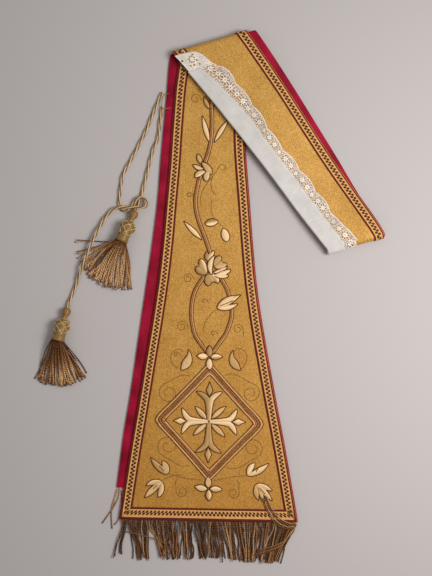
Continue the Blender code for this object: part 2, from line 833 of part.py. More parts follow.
def goldwork(shapes):
    """All raised shapes of the front end, each a closed solid rooted in the face."""
    for i, (x, y, length, width, angle) in enumerate(LEAVES):
        foot = Vector((x, y)) - along(math.radians(angle)) * length / 2
        padded(f"leaf_{i}", leaf_outline(length, width), *foot, angle, shapes)
    for i, (x, y, length, width, turn) in enumerate(TEARS):
        shape = tear_outline(length, width, turn)
        padded(f"tear_{i}", shape, x, y, 90 - 20 * turn, shapes)
    petal = leaf_outline(PETAL_LENGTH, PETAL_WIDTH)
    for i, (x, y) in enumerate(QUATREFOILS):
        for angle in (0, 90, 180, 270):
            foot = Vector((x, y)) + along(math.radians(angle)) * 1.0
            padded(f"quatrefoil_{i}_{angle}", petal, *foot, angle, shapes)
    for i, ((x, y), petals) in enumerate(FLOWERS):
        for k, (length, width, angle) in enumerate(petals):
            foot = Vector((x, y)) + along(math.radians(angle)) * 1.5
            padded(f"flower_{i}_{k}", leaf_outline(length, width), *foot, angle, shapes)
    for angle, length in ((0, 50.0), (90, 53.0), (180, 50.0), (270, 53.0)):
        spot = Vector(CROSS) + along(math.radians(angle)) * 0.6
        padded(f"arm_{angle}", arm_outline(length), *spot, angle, shapes)
        spot = Vector(CROSS) + along(math.radians(angle)) * length * 0.75
        tip = leaf_outline(length * 0.25, 7.0)
        padded(f"arm_tip_{angle}", tip, *spot, angle, shapes)
        spot = Vector(CROSS) + along(math.radians(angle + 42)) * 5.0
        padded(f"ray_{angle}", leaf_outline(*RAY), *spot, angle + 42, shapes)
    for i, route in enumerate(STEMS):
        points = smooth_route([(x, y, 0) for x, y in route], STEM_STEP)
        stem(f"stem_{i}", points, False, shapes)
    for i, (wide, tall) in enumerate(LOZENGE_RIBS):
        turn = Matrix.Rotation(math.radians(LOZENGE_TURN), 2)
        ends = ((wide, 0), (0, tall), (-wide, 0), (0, -tall))
        corners = [Vector(LOZENGE) + turn @ Vector(end) for end in ends]
        stem(f"lozenge_{i}", corners, True, shapes)
    hidden(shapes)


# ---------------------------------------------------------------- fringe
STRAND_WIDTH = 1.5
FRINGE_LENGTH = 51.0
HEADING_DEPTH = 3.0
# Roots from x to x, tips from x to x, how much longer than the rest.
BUNCHES = (
    (-117.5, -110.0, -128.0, -121.0, -2.0),
    (-110.0, -82.0, -95.0, -82.0, 1.5),
    (-82.0, -56.0, -66.0, -55.5, 0.0),
    (-56.0, -40.0, -52.0, -41.5, 1.0),
    (-40.0, -22.0, -34.5, -24.5, 0.0),
    (-22.0, -2.0, -12.5, 1.0, -1.5),
    (-2.0, 13.0, 5.0, 18.0, -1.5),
    (13.0, 66.0, 26.0, 61.5, 2.0),
    (66.0, 117.5, 63.5, 94.0, 2.5),
)
STRAND_PITCH = 2.85
STRAND_RIM = 0.42
STRAND_TAPER = 0.7
FLOOR_LEVELS = (1.05, 3.0)  # heights of the strands' middles where they lie, every other one higher
# How a strand falls to the floor: share of its length, of its drop and of its way sideways.
STRAND_FALL = ((0.22, 0.55, 0.1), (0.55, 1.0, 0.6), (1.0, 1.0, 1.0))


def grow(bm, root, path, width):
    """Draws one face of a backing out along a path, as a strand with four sides."""
    face, before, first, turn = root, root.calc_center_median(), None, 0
    for i, spot in enumerate(path):
        ahead = (path[min(i + 1, len(path) - 1)] - before).normalized()
        side = ahead.cross(Vector((0, 0, 1))).normalized()
        lift = side.cross(ahead)
        if first is None:
            spokes = [v.co - before for v in face.verts[:2]]
            angles = [math.atan2(spoke.dot(lift), spoke.dot(side)) for spoke in spokes]
            first = (round(angles[0] / (math.pi / 2) - 0.5) + 0.5) * math.pi / 2
            turn = math.copysign(math.pi / 2, math.sin(angles[1] - angles[0]))
        face = bmesh.ops.extrude_discrete_faces(bm, faces=[face])["faces"][0]
        reach = width / math.sqrt(2) * (1.0 if i < len(path) - 1 else STRAND_TAPER)
        for k, v in enumerate(face.verts):
            angle = first + turn * k
            v.co = spot + (side * math.cos(angle) + lift * math.sin(angle)) * reach
        before = spot


def bottom_edge(half, x):
    """Where a half's wide end is: y at one x."""
    end = HALVES[half]["end"]
    return end + math.tan(lean_at(end)) * (x - FOLD_X)


def strand_spots():
    """Root x, tip x and reach of each strand of the front fringe."""
    spots = []
    for root0, root1, tip0, tip1, longer in BUNCHES:
        count = max(2, round((root1 - root0) / STRAND_PITCH))
        for i in range(count):
            t = (i + 0.5) / count
            wave = math.sin(2.4 * len(spots)) + math.sin(0.9 * len(spots))
            reach = FRINGE_LENGTH + longer + 0.9 * wave
            spots.append((root0 + (root1 - root0) * t, tip0 + (tip1 - tip0) * t, reach))
    return spots


def heading(bm, edges, half, low, high):
    """A narrow strip with one cell for each strand; its outer cells are returned."""
    count = len(edges) - 1
    bmesh.ops.create_grid(bm, x_segments=count, y_segments=1, size=0.5)
    for v in bm.verts:
        x = edges[round((v.co.x + 0.5) * count)]
        y = bottom_edge(half, x) - SEAM_GAP - HEADING_DEPTH
        v.co = Vector((x, y, high if v.co.y > 0 else low))
    back = bmesh.ops.extrude_face_region(bm, geom=bm.faces[:])["geom"]
    lift = [v for v in back if isinstance(v, bmesh.types.BMVert)]
    bmesh.ops.translate(bm, verts=lift, vec=(0, HEADING_DEPTH, 0))
    bmesh.ops.recalc_face_normals(bm, faces=bm.faces[:])
    front = [f for f in bm.faces if f.normal.y < -0.9]
    return sorted(front, key=lambda f: f.calc_center_median().x)


def narrowed(bm, faces, margin):
    """Each face with a rim round it, so that the strands drawn from them stand apart."""
    bmesh.ops.inset_individual(bm, faces=faces, thickness=margin, use_even_offset=True)
    return faces


def fringe_front(collection):
    spots = strand_spots()
    roots = [s[0] for s in spots]
    middles = [(a + b) / 2 for a, b in zip(roots, roots[1:])]
    edges = [BUNCHES[0][0], *middles, BUNCHES[-1][1]]
    bm = bmesh.new()
    cells = heading(bm, edges, "front", FRONT_LINING[0] + 0.2, FRONT_FACE[1])
    cells = narrowed(bm, cells, STRAND_RIM)
    for i, (face, (root, tip, reach)) in enumerate(zip(cells, spots)):
        start = face.calc_center_median()
        level = FLOOR_LEVELS[i % 2]
        path = []
        for along_it, sunk, spread in STRAND_FALL:
            x = root + (tip - root) * spread
            z = start.z + (level - start.z) * sunk
            path.append(Vector((x, start.y - reach * along_it, z)))
        grow(bm, face, path, STRAND_WIDTH)
    return finish("fringe_front", bm, material("bullion", BRONZE, 0.45, 0.6), collection)


# Strands of the under fringe that come out past the front's left edge: spots along each, x and y.
LOOSE_UNDER = (
    ((-125.6, 32.0), (-131.5, 17.0), (-138.5, 6.0), (-144.5, -3.0)),
    ((-123.0, 32.0), (-128.5, 15.0), (-130.8, 2.0), (-131.2, -12.0)),
)
LOOSE_PITCH = 2.7
HIDDEN_STRANDS = 20
HIDDEN_LENGTH = 34.0
UNDER_HEADING = (0.3, 2.3)


def fringe_under(collection):
    """The fringe of the under half: plain where the front covers it."""
    end = HALVES["under"]["end"]
    left, right = (crossing("under", side, end, lean_at(end)).x for side in (-1, 1))
    first = left + LOOSE_PITCH * len(LOOSE_UNDER)
    pitch = (right - first) / HIDDEN_STRANDS
    edges = [left + LOOSE_PITCH * i for i in range(len(LOOSE_UNDER))]
    edges += [first + pitch * i for i in range(HIDDEN_STRANDS + 1)]
    bm = bmesh.new()
    cells = heading(bm, edges, "under", *UNDER_HEADING)
    loose = narrowed(bm, cells[: len(LOOSE_UNDER)], STRAND_RIM)
    for face, route in zip(loose, LOOSE_UNDER):
        grow(bm, face, [Vector((x, y, FLOOR_LEVELS[0])) for x, y in route], STRAND_WIDTH)
    for face in narrowed(bm, cells[len(LOOSE_UNDER) :], STRAND_RIM):
        middle = face.calc_center_median()
        for v in face.verts:
            v.co.x = middle.x + math.copysign(STRAND_WIDTH / 2, v.co.x - middle.x)
        grow(bm, face, [middle + Vector((0, -HIDDEN_LENGTH, 0))], STRAND_WIDTH)
    return finish("fringe_under", bm, material("bullion", BRONZE, 0.45, 0.6), collection)


# ---------------------------------------------------------------- the tie: cords and tassels
CORD = 3.6  # thickness
CORD_STEP = 7.2
# Where the long cord runs, from the stole's edge through its hitch to the far tassel.
LONG_ROUTE = (
    (-62.4, 576.4, 2.0),
    (-67.6, 566.3, 1.9),
    (-75.4, 548.1, 1.9),
    (-84.2, 526.5, 1.9),
    (-96.7, 501.5, 1.9),
    (-107.9, 480.9, 1.9),
    (-115.3, 467.1, 1.9),
    (-118.4, 453.6, 1.9),
    (-120.2, 438.8, 1.9),
    (-120.9, 428.0, 1.9),
    (-118.6, 420.2, 1.9),
    (-113.1, 417.3, 1.9),
    (-107.0, 420.0, 2.0),
    (-102.2, 425.8, 3.2),
    (-97.4, 432.0, 5.0),
    (-91.4, 435.2, 5.9),
    (-85.6, 432.9, 6.1),
    (-83.4, 427.6, 6.5),
    (-85.7, 422.4, 7.0),
    (-91.4, 420.8, 7.4),
    (-99.9, 421.4, 7.6),
    (-110.0, 421.3, 6.5),
    (-120.4, 421.2, 5.9),
    (-130.3, 417.7, 4.2),
    (-139.1, 408.4, 3.7),
    (-146.5, 395.6, 5.6),
    (-153.9, 380.7, 7.8),
    (-160.7, 365.9, 8.2),
    (-168.1, 348.3, 7.8),
    (-171.9, 338.0, 7.2),
    (-175.9, 326.4, 4.2),
    (-181.2, 311.9, 2.1),
    (-187.2, 296.3, 3.0),
    (-189.5, 287.7, 5.3),
)
# Where the short cord runs, from the stole's edge under the hitch to the near tassel.
SHORT_ROUTE = (
    (-62.6, 557.4, 2.0),
    (-64.3, 548.1, 1.9),
    (-66.3, 534.0, 1.9),
    (-68.9, 515.0, 1.9),
    (-74.8, 500.6, 1.9),
    (-78.6, 487.8, 1.9),
    (-81.9, 474.8, 1.9),
    (-85.5, 460.2, 1.9),
    (-89.8, 443.9, 1.9),
    (-91.8, 434.6, 1.9),
    (-94.3, 427.3, 1.9),
    (-96.6, 421.9, 2.8),
    (-98.0, 417.9, 5.2),
)
# The thread that ties both cords' ends to the stole, over the edge of the crimson lining.
THREAD_ROUTE = (
    (-50.5, 556.0, 4.0),
    (-54.0, 555.2, 3.5),
    (-58.0, 554.6, 4.2),
    (-61.5, 554.4, 4.7),
    (-63.6, 557.5, 4.3),
    (-62.9, 564.0, 4.4),
    (-61.6, 570.5, 4.7),
    (-58.2, 573.6, 4.7),
    (-54.4, 574.6, 3.6),
)
THREAD = 1.2
# A tassel's turned head: how far along it, and its radius there.
HEAD = (
    (0.0, 2.2),
    (2.5, 5.0),
    (6.0, 6.0),
    (10.0, 4.8),
    (12.0, 3.4),
    (15.0, 3.4),
    (17.5, 6.8),
    (21.5, 9.2),
    (27.0, 9.6),
    (32.0, 8.4),
    (36.0, 7.2),
    (46.0, 9.4),
)
HEAD_SIDES = 14
HEAD_CORE = 5.0  # radius of the core under the head, inside the locks' roots
HEAD_TILT = math.radians(10.0)
BEAD_HEIGHT = 5.6
# Tassel: the cord's end, the head's heading, the headings of its outer strands and their length.
TASSELS = {
    "tassel_near": {"at": (-98.4, 416.9), "heading": 245.7, "fan": (184.0, 281.0), "skirt": 65.0},
    "tassel_far": {"at": (-189.7, 286.9), "heading": 255.2, "fan": (239.0, 302.0), "skirt": 62.0},
}
SKIRT_STRAND = 2.2
SKIRT_RIM = 0.3
# Each layer of locks, the lower first: its height, and how much narrower its fan is each side.
SKIRT_LAYERS = ((1.3, 0.0), (4.0, 0.07))
SKIRT_FALL = ((0.2, 0.3, 0.26), (0.55, 0.95, 0.62), (1.0, 1.0, 1.0))


def turned_head(bm, place):
    """The head's closed turned body; the faces under it that bear the locks are returned."""
    foot = HEAD[-1][0]
    profile = [(0.0, 0.0), *HEAD, (foot, HEAD_CORE), (foot, 0.0)]
    spots = [bm.verts.new((r, 0.0, -z)) for z, r in profile]
    edges = [bm.edges.new(pair) for pair in zip(spots, spots[1:])]
    bmesh.ops.spin(
        bm,
        geom=spots + edges,
        cent=(0, 0, 0),
        axis=(0, 0, 1),
        angle=2 * math.pi,
        steps=HEAD_SIDES,
        use_merge=True,
    )
    bmesh.ops.remove_doubles(bm, verts=bm.verts[:], dist=0.01)
    bmesh.ops.recalc_face_normals(bm, faces=bm.faces[:])
    roots = [
        f
        for f in bm.faces
        if all(abs(v.co.z + foot) < 0.01 for v in f.verts) and len(f.verts) == 4
    ]
    bmesh.ops.transform(bm, matrix=place, verts=bm.verts[:])
    return roots


def tassel(name, collection):
    """A tassel on the floor: its head, and a skirt of locks fanned out from its foot.

    The roots round the foot's lower half bear the lower layer, the others the upper one.
    """
    spec = TASSELS[name]
    flat_way = along(math.radians(spec["heading"]))
    way = Vector((flat_way.x, flat_way.y, 0))
    side = Vector((-way.y, way.x, 0))
    start = Vector((*spec["at"], BEAD_HEIGHT))
    axis = (way + Vector((0, 0, math.tan(HEAD_TILT)))).normalized()
    turn = Vector((0, 0, -1)).rotation_difference(axis).to_matrix().to_4x4()
    bm = bmesh.new()
    roots = narrowed(bm, turned_head(bm, Matrix.Translation(start) @ turn), SKIRT_RIM)
    roots.sort(key=lambda f: f.calc_center_median().z)
    half = HEAD_SIDES // 2
    hub = start + way * HEAD[-1][0]
    fan_from, fan_to = spec["fan"]
    for (z, inside), layer in zip(SKIRT_LAYERS, (roots[:half], roots[half:])):
        layer.sort(key=lambda f: -f.calc_center_median().dot(side))
        for k, face in enumerate(layer):
            share = inside + (1 - 2 * inside) * k / (half - 1)
            angle = math.radians(fan_to + (fan_from - fan_to) * share)
            root = face.calc_center_median()
            reach = spec["skirt"] + 1.5 * math.sin(3.1 * k + z)
            tip = hub + Vector((math.cos(angle), math.sin(angle), 0)) * reach
            path = []
            for along_it, sunk, spread in SKIRT_FALL:
                ahead = root + way * (tip - root).dot(way) * along_it
                out = side * (tip - root).dot(side) * spread
                path.append(Vector((*(ahead + out).xy, root.z + (z - root.z) * sunk)))
            grow(bm, face, path, SKIRT_STRAND)
    return finish(name, bm, material("bullion", BRONZE, 0.45, 0.6), collection)


def tie(collection):
    corded = material("tie_cord", CORD_GOLD, 0.5, 0.3)
    for name, route in (("cord_long", LONG_ROUTE), ("cord_short", SHORT_ROUTE)):
        points = smooth_route(route, CORD_STEP)
        tube(name, points, CORD / 2, 2, False, corded, collection)
    tube("cord_thread", smooth_route(THREAD_ROUTE, 4.0), THREAD / 2, 1, False, corded, collection)
    for name in TASSELS:
        tassel(name, collection)


# ---------------------------------------------------------------- the whole stole
def clear_scene():
    for obj in list(bpy.data.objects):
        bpy.data.objects.remove(obj)


def new_collection(name):
    made = bpy.data.collections.new(name)
    bpy.context.scene.collection.children.link(made)
    return made


def main():
    clear_scene()
    stole = new_collection("clerical_stole")
    shapes = new_collection("goldwork_shapes")
    holes = new_collection("lace_holes")
    make_panels(stole)
    galloon_front(stole)
    galloons_neck(stole)
    collar(stole)
    lace(stole, holes)
    lace_end(stole)
    goldwork(shapes)
    boolean(bpy.data.objects["face_front"], shapes, "UNION")
    fringe_front(stole)
    fringe_under(stole)
    tie(stole)


main()
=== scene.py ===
"""A priest's stole of gold cloth, folded and laid down on a plain surface, with its tasselled tie.

The stole is marked out in millimetres as its maker would do it: x across and y up the cloth from
the middle of the front half's fringed end, and h up through the pile of folded cloth.
"""

import math
import random

import bpy
import numpy as np
from mathutils import Matrix, Vector, noise


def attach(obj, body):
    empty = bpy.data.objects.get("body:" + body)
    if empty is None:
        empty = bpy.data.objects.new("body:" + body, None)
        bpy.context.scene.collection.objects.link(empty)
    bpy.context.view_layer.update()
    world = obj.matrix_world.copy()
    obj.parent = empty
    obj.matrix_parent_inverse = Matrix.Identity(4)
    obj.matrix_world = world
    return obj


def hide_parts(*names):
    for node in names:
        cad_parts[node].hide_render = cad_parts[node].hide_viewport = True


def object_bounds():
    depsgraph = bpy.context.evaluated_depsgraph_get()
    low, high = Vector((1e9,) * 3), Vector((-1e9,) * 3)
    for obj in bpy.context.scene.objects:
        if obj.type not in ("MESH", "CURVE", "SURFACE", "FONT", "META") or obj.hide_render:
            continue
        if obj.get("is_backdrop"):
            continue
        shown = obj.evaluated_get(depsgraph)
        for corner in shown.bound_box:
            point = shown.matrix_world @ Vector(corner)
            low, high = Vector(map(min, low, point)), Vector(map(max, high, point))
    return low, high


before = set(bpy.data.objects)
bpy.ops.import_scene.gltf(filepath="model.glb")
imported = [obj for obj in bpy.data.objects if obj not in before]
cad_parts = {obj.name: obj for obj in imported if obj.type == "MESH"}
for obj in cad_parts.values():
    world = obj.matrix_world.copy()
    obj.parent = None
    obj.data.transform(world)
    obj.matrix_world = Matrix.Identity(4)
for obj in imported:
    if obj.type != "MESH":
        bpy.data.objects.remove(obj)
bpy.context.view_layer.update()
bpy.ops.object.select_all(action="DESELECT")


# ------------------------------------------------------------------ table, light and camera
# The stole is seen from straight above on a plain pale grey table, under a broad soft lamp at the
# right and a weak one at the upper left.
TABLE_GREY = (0.56, 0.511, 0.494)


def new_finish(name, roughness, gloss, metal=0.0):
    """A new material, and its tree of nodes to work up."""
    made = bpy.data.materials.new(name)
    made.use_nodes = True
    skin = made.node_tree.nodes["Principled BSDF"]
    skin.inputs["Roughness"].default_value = roughness
    skin.inputs["Specular IOR Level"].default_value = gloss
    skin.inputs["Metallic"].default_value = metal
    return made, made.node_tree


bpy.ops.mesh.primitive_plane_add(size=6.0, location=(0.0, 0.0, -0.0003))
table = bpy.context.object
table.name = "table"
table_paint, tree = new_finish("table_paint", 0.85, 0.2)
tree.nodes["Principled BSDF"].inputs["Base Color"].default_value = (*TABLE_GREY, 1.0)
table.data.materials.append(table_paint)
table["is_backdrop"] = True

for name, place, size, watts in (
    ("window", (0.54, 0.03, 0.86), 0.5, 8.0),
    ("fill", (-0.35, 1.15, 1.3), 1.0, 1.6),
):
    bpy.ops.object.light_add(type="AREA", location=place)
    lamp = bpy.context.object
    lamp.name = name
    lamp.data.shape = "DISK"
    lamp.data.size = size
    lamp.data.energy = watts
    lamp.rotation_euler = (-Vector(place)).to_track_quat("-Z", "Y").to_euler()

room = bpy.data.worlds.new("room")
room.use_nodes = True
room.node_tree.nodes["Background"].inputs["Color"].default_value = (1.0, 1.0, 1.0, 1.0)
room.node_tree.nodes["Background"].inputs["Strength"].default_value = 0.30
bpy.context.scene.world = room
bpy.context.scene.view_settings.view_transform = "Standard"

bpy.ops.object.camera_add(location=(-0.0360, 0.0142, 1.069), rotation=(0.0, 0.0, 0.0))
camera = bpy.context.object
camera.data.lens = 49.5
camera.data.sensor_width = 36.0
camera.data.clip_start = 0.05
bpy.context.scene.camera = camera


# ------------------------------------------------------------------ the tie: two twisted cords
# Two lengths of three-ply cord are caught on the stole's edge by a thread. They cross in a loose
# hitch, and each runs down through the bead and neck of its tassel to the root of the skirt.
CORD_THICK = 0.0047
CORD_PITCH = 0.052
CORD_IN_HEAD = (0.12, 0.4, 0.7, 0.96)  # where it runs through a head, as shares of the head's length
THREAD_THICK = 0.0012
TONE_PLACES = (0.0, 0.5, 0.94, 0.97, 1.0)  # how far along a strand each of its five tones is
LONG_CORD = (
    (-0.1079, 0.2774, 0.0020),
    (-0.1131, 0.2673, 0.0019),
    (-0.1209, 0.2491, 0.0019),
    (-0.1297, 0.2275, 0.0019),
    (-0.1422, 0.2025, 0.0019),
    (-0.1534, 0.1819, 0.0019),
    (-0.1608, 0.1681, 0.0019),
    (-0.1639, 0.1546, 0.0019),
    (-0.1657, 0.1398, 0.0019),
    (-0.1664, 0.1290, 0.0019),
    (-0.1641, 0.1212, 0.0019),
    (-0.1586, 0.1183, 0.0019),
    (-0.1525, 0.1210, 0.0020),
    (-0.1477, 0.1268, 0.0032),
    (-0.1429, 0.1330, 0.0050),
    (-0.1369, 0.1362, 0.0059),
    (-0.1311, 0.1339, 0.0061),
    (-0.1289, 0.1286, 0.0065),
    (-0.1312, 0.1234, 0.0070),
    (-0.1369, 0.1218, 0.0074),
    (-0.1454, 0.1224, 0.0076),
    (-0.1555, 0.1223, 0.0065),
    (-0.1659, 0.1222, 0.0059),
    (-0.1758, 0.1187, 0.0042),
    (-0.1846, 0.1094, 0.0037),
    (-0.1920, 0.0966, 0.0056),
    (-0.1994, 0.0817, 0.0078),
    (-0.2062, 0.0669, 0.0082),
    (-0.2136, 0.0493, 0.0078),
    (-0.2174, 0.0390, 0.0072),
    (-0.2214, 0.0274, 0.0042),
    (-0.2267, 0.0129, 0.0021),
    (-0.2327, -0.0027, 0.0030),
    (-0.2350, -0.0113, 0.0053),
)
SHORT_CORD = (
    (-0.1081, 0.2584, 0.0020),
    (-0.1098, 0.2491, 0.0019),
    (-0.1118, 0.2350, 0.0019),
    (-0.1144, 0.2160, 0.0019),
    (-0.1203, 0.2016, 0.0019),
    (-0.1241, 0.1888, 0.0019),
    (-0.1274, 0.1758, 0.0019),
    (-0.1310, 0.1612, 0.0019),
    (-0.1353, 0.1449, 0.0019),
    (-0.1373, 0.1356, 0.0019),
    (-0.1398, 0.1283, 0.0019),
    (-0.1421, 0.1229, 0.0028),
    (-0.1435, 0.1189, 0.0052),
)
CATCH_THREAD = (
    (-0.0960, 0.2570, 0.0040),
    (-0.0995, 0.2562, 0.0035),
    (-0.1035, 0.2556, 0.0042),
    (-0.1070, 0.2554, 0.0047),
    (-0.1091, 0.2585, 0.0043),
    (-0.1084, 0.2650, 0.0044),
    (-0.1071, 0.2715, 0.0047),
    (-0.1037, 0.2746, 0.0047),
    (-0.0999, 0.2756, 0.0036),
)
# Where each tassel's head starts, which way it points in degrees, and how steeply it rises.
HEAD_LENGTH = 0.046
HEAD_RISE = math.radians(10.0)
TASSEL_HEADS = {
    "near": (Vector((-0.1439, 0.1179, 0.0056)), 245.7),
    "far": (Vector((-0.2352, -0.0121, 0.0056)), 255.2),
}


def smooth_line(points, step):
    """Points about a step apart on a smooth curve through the given ones."""
    line = []
    for i in range(len(points) - 1):
        a, b = Vector(points[i]), Vector(points[i + 1])
        before = Vector(points[max(i - 1, 0)])
        after = Vector(points[min(i + 2, len(points) - 1)])
        count = max(1, round((b - a).length / step))
        for k in range(count):
            t = k / count
            bend = (2 * before - 5 * a + 4 * b - after) * t**2
            bend += (3 * a - before - 3 * b + after) * t**3
            line.append((2 * a + (b - before) * t + bend) / 2)
    line.append(Vector(points[-1]))
    return line


def strand(points, thick, plies=2, pitch=0.004, sides=6, groove=0.25, swell=None, flat=1.0):
    """The rings of one twisted strand: its corners, its faces, and how each face unrolls."""
    line = np.array([tuple(p) for p in points])
    ahead = np.gradient(line, axis=0)
    ahead /= np.linalg.norm(ahead, axis=1)[:, None]
    side = np.cross(ahead[0], (0.0, 0.0, 1.0))
    if np.linalg.norm(side) < 1e-6:
        side = np.array((1.0, 0.0, 0.0))
    sides_way = []
    for way in ahead:
        side = side - way * side.dot(way)
        side = side / np.linalg.norm(side)
        sides_way.append(side)
    sides_way = np.array(sides_way)
    up_way = np.cross(sides_way, ahead)
    run = np.concatenate(([0.0], np.cumsum(np.linalg.norm(np.diff(line, axis=0), axis=1))))
    corner = 2 * math.pi * np.arange(sides) / sides
    reach = thick / 2 * (1 - groove * (0.5 - 0.5 * np.cos(plies * corner)))
    swell = np.ones(len(line)) if swell is None else np.array([swell(r, run[-1]) for r in run])
    turned = corner[None, :] + 2 * math.pi * run[:, None] / pitch
    out = sides_way[:, None, :] * np.cos(turned)[:, :, None]
    out = out + up_way[:, None, :] * np.sin(turned)[:, :, None]
    rings = out * (reach[None, :] * swell[:, None])[:, :, None]
    rings[:, :, 2] *= flat
    rings += line[:, None, :]
    count = len(line)
    verts = rings.reshape(-1, 3)
    ring, col = np.meshgrid(np.arange(count - 1), np.arange(sides), indexing="ij")
    ring, col = ring.ravel(), col.ravel()
    after = (col + 1) % sides
    faces = np.stack(
        (ring * sides + col, ring * sides + after, (ring + 1) * sides + after, (ring + 1) * sides + col), 1
    )
    uvs = np.stack(
        (
            np.stack((run[ring], col / sides), 1),
            np.stack((run[ring], (col + 1) / sides), 1),
            np.stack((run[ring + 1], (col + 1) / sides), 1),
            np.stack((run[ring + 1], col / sides), 1),
        ),
        1,
    )
    return verts, faces, uvs


def wound(name, strands, finish, tones=None):
    """One piece made of twisted strands, each closed at both ends, with the tones along each one."""
    verts, faces, uvs, shades, start = [], [], [], [], 0
    for n, (points, quads, unrolled) in enumerate(strands):
        count = len(points)
        sides = int(quads[0][3])
        verts.append(points)
        faces += [tuple(int(v) + start for v in quad) for quad in quads]
        uvs += [uv for quad in unrolled for uv in quad]
        first = list(range(start, start + sides))
        last = list(range(start + count - sides, start + count))
        faces += [tuple(first[::-1]), tuple(last)]
        uvs += [unrolled[0][0]] * sides + [unrolled[-1][2]] * sides
        start += count
        if tones:
            along_it = np.linspace(0.0, 1.0, count // sides)
            shades.append(np.repeat(np.interp(along_it, TONE_PLACES, tones[n]), sides))
    mesh = bpy.data.meshes.new(name)
    mesh.from_pydata([tuple(v) for block in verts for v in block], [], faces)
    layer = mesh.uv_layers.new(name="unrolled")
    layer.data.foreach_set("uv", np.array(uvs, np.float32).ravel())
    if tones:
        tone = mesh.attributes.new("tone", "FLOAT", "POINT")
        tone.data.foreach_set("value", np.concatenate(shades).astype(np.float32))
    mesh.shade_smooth()
    mesh.materials.append(finish)
    piece = bpy.data.objects.new(name, mesh)
    bpy.context.scene.collection.objects.link(piece)
    bpy.ops.object.select_all(action="DESELECT")
    piece.select_set(True)
    bpy.context.view_layer.objects.active = piece
    bpy.ops.object.mode_set(mode="EDIT")
    bpy.ops.mesh.select_all(action="SELECT")
    bpy.ops.mesh.normals_make_consistent(inside=False)
    bpy.ops.object.mode_set(mode="OBJECT")
    return piece


def added(tree, kind, output, inputs, **settings):
    """The output of a new node, whose inputs are numbers, colours or other nodes' outputs."""
    node = tree.nodes.new("ShaderNode" + kind)
    for name, value in settings.items():
        setattr(node, name, value)
    for name, value in inputs.items():
        if isinstance(value, bpy.types.NodeSocket):
            tree.links.new(value, node.inputs[name])
        else:
            node.inputs[name].default_value = value
    return node.outputs[output]


def maths(tree, operation, *values):
    """One step of arithmetic on numbers and nodes' outputs."""
    return added(tree, "Math", 0, dict(enumerate(values)), operation=operation)


def laid_place(tree):
    """Where each point of a piece lies."""
    return added(tree, "TexCoord", "Object", {})


def unrolled_place(tree):
    """Where each point is on the piece's own unrolled map."""
    return added(tree, "UVMap", "UV", {}, uv_map="unrolled")


def uneven(tree, place, scale, detail=2.0):
    """Cloudy unevenness: the greater the scale, the finer it is."""
    return added(tree, "TexNoise", "Fac", {"Vector": place, "Scale": scale, "Detail": detail})


def shades(tree, level, *steps):
    """Colours that follow a level: for each step, lowest first, where it is reached and its colour."""
    ramp = tree.nodes.new("ShaderNodeValToRGB")
    elements = ramp.color_ramp.elements
    elements[0].position = steps[0][0]
    elements[1].position = steps[-1][0]
    for at, _ in steps[1:-1]:
        elements.new(at)
    for element, (_, colour) in zip(elements, steps):
        element.color = (*colour, 1.0)
    tree.links.new(level, ramp.inputs["Fac"])
    return ramp.outputs["Color"]


def mixed(tree, share, under, over, blend="MIX"):
    """Two colours mixed, or with MULTIPLY the one darkened by the other."""
    feeds = {"Factor": share, "A": under, "B": over}
    return added(tree, "Mix", "Result", feeds, data_type="RGBA", blend_type=blend)


def finished(tree, colour, relief, strength, deep):
    """Gives a finish its colour, and its relief with how strong and how deep that is."""
    skin = tree.nodes["Principled BSDF"]
    tree.links.new(colour, skin.inputs["Base Color"])
    raised = added(tree, "Bump", "Normal", {"Height": relief, "Strength": strength, "Distance": deep})
    tree.links.new(raised, skin.inputs["Normal"])


def twisted_thread(name, light, dark, plies, roughness, metal, gloss=0.3):
    """Metal thread wound on silk: a painted highlight on each ply's crown and painted shade in the grooves
    between.
    """
    made, tree = new_finish(name, roughness, gloss, metal)
    round_it = added(tree, "SeparateXYZ", "Y", {"Vector": unrolled_place(tree)})
    # Painted highlight and shade: light on the crown of each ply, dark down in the grooves between them.
    painted_crown_light = maths(tree, "COSINE", maths(tree, "MULTIPLY", round_it, 2 * math.pi * plies))
    mottled = maths(tree, "MULTIPLY_ADD", uneven(tree, laid_place(tree), 900.0), 1.6, -0.8)
    level = maths(tree, "ADD", painted_crown_light, mottled)
    share = added(tree, "MapRange", "Result", {"Value": level, "From Min": -1.0, "From Max": 1.2})
    finished(tree, shades(tree, share, (0.05, dark), (0.75, light)), level, 0.35, 0.0003)
    return made


def head_axis(which):
    """The way one tassel's head points, from its bead to the root of its skirt."""
    turn = math.radians(TASSEL_HEADS[which][1])
    return Vector((math.cos(turn), math.sin(turn), math.tan(HEAD_RISE))).normalized()


cord_finish = twisted_thread("tie_cord", (0.74, 0.49, 0.25), (0.085, 0.043, 0.018), 3, 0.45, 0.15)
tie_lines = {}
for name, route, which in (("cord_long", LONG_CORD, "far"), ("cord_short", SHORT_CORD, "near")):
    start, way = TASSEL_HEADS[which][0], head_axis(which)
    through = [tuple(start + way * HEAD_LENGTH * t) for t in CORD_IN_HEAD]
    tie_lines[name] = smooth_line(list(route) + through, 0.0011)
    made = strand(tie_lines[name], CORD_THICK, plies=3, pitch=CORD_PITCH, sides=12, groove=0.3)
    piece = wound("tie_" + name, [made], cord_finish)
    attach(piece, "root")
    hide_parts(name)

thread_line = smooth_line(CATCH_THREAD, 0.0006)
thread_finish = twisted_thread("catch_thread", (0.55, 0.30, 0.15), (0.13, 0.05, 0.02), 2, 0.6, 0.1)
catch_thread = wound("catch_thread", [strand(thread_line, THREAD_THICK, pitch=0.003)], thread_finish)
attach(catch_thread, "root")
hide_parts("cord_thread")
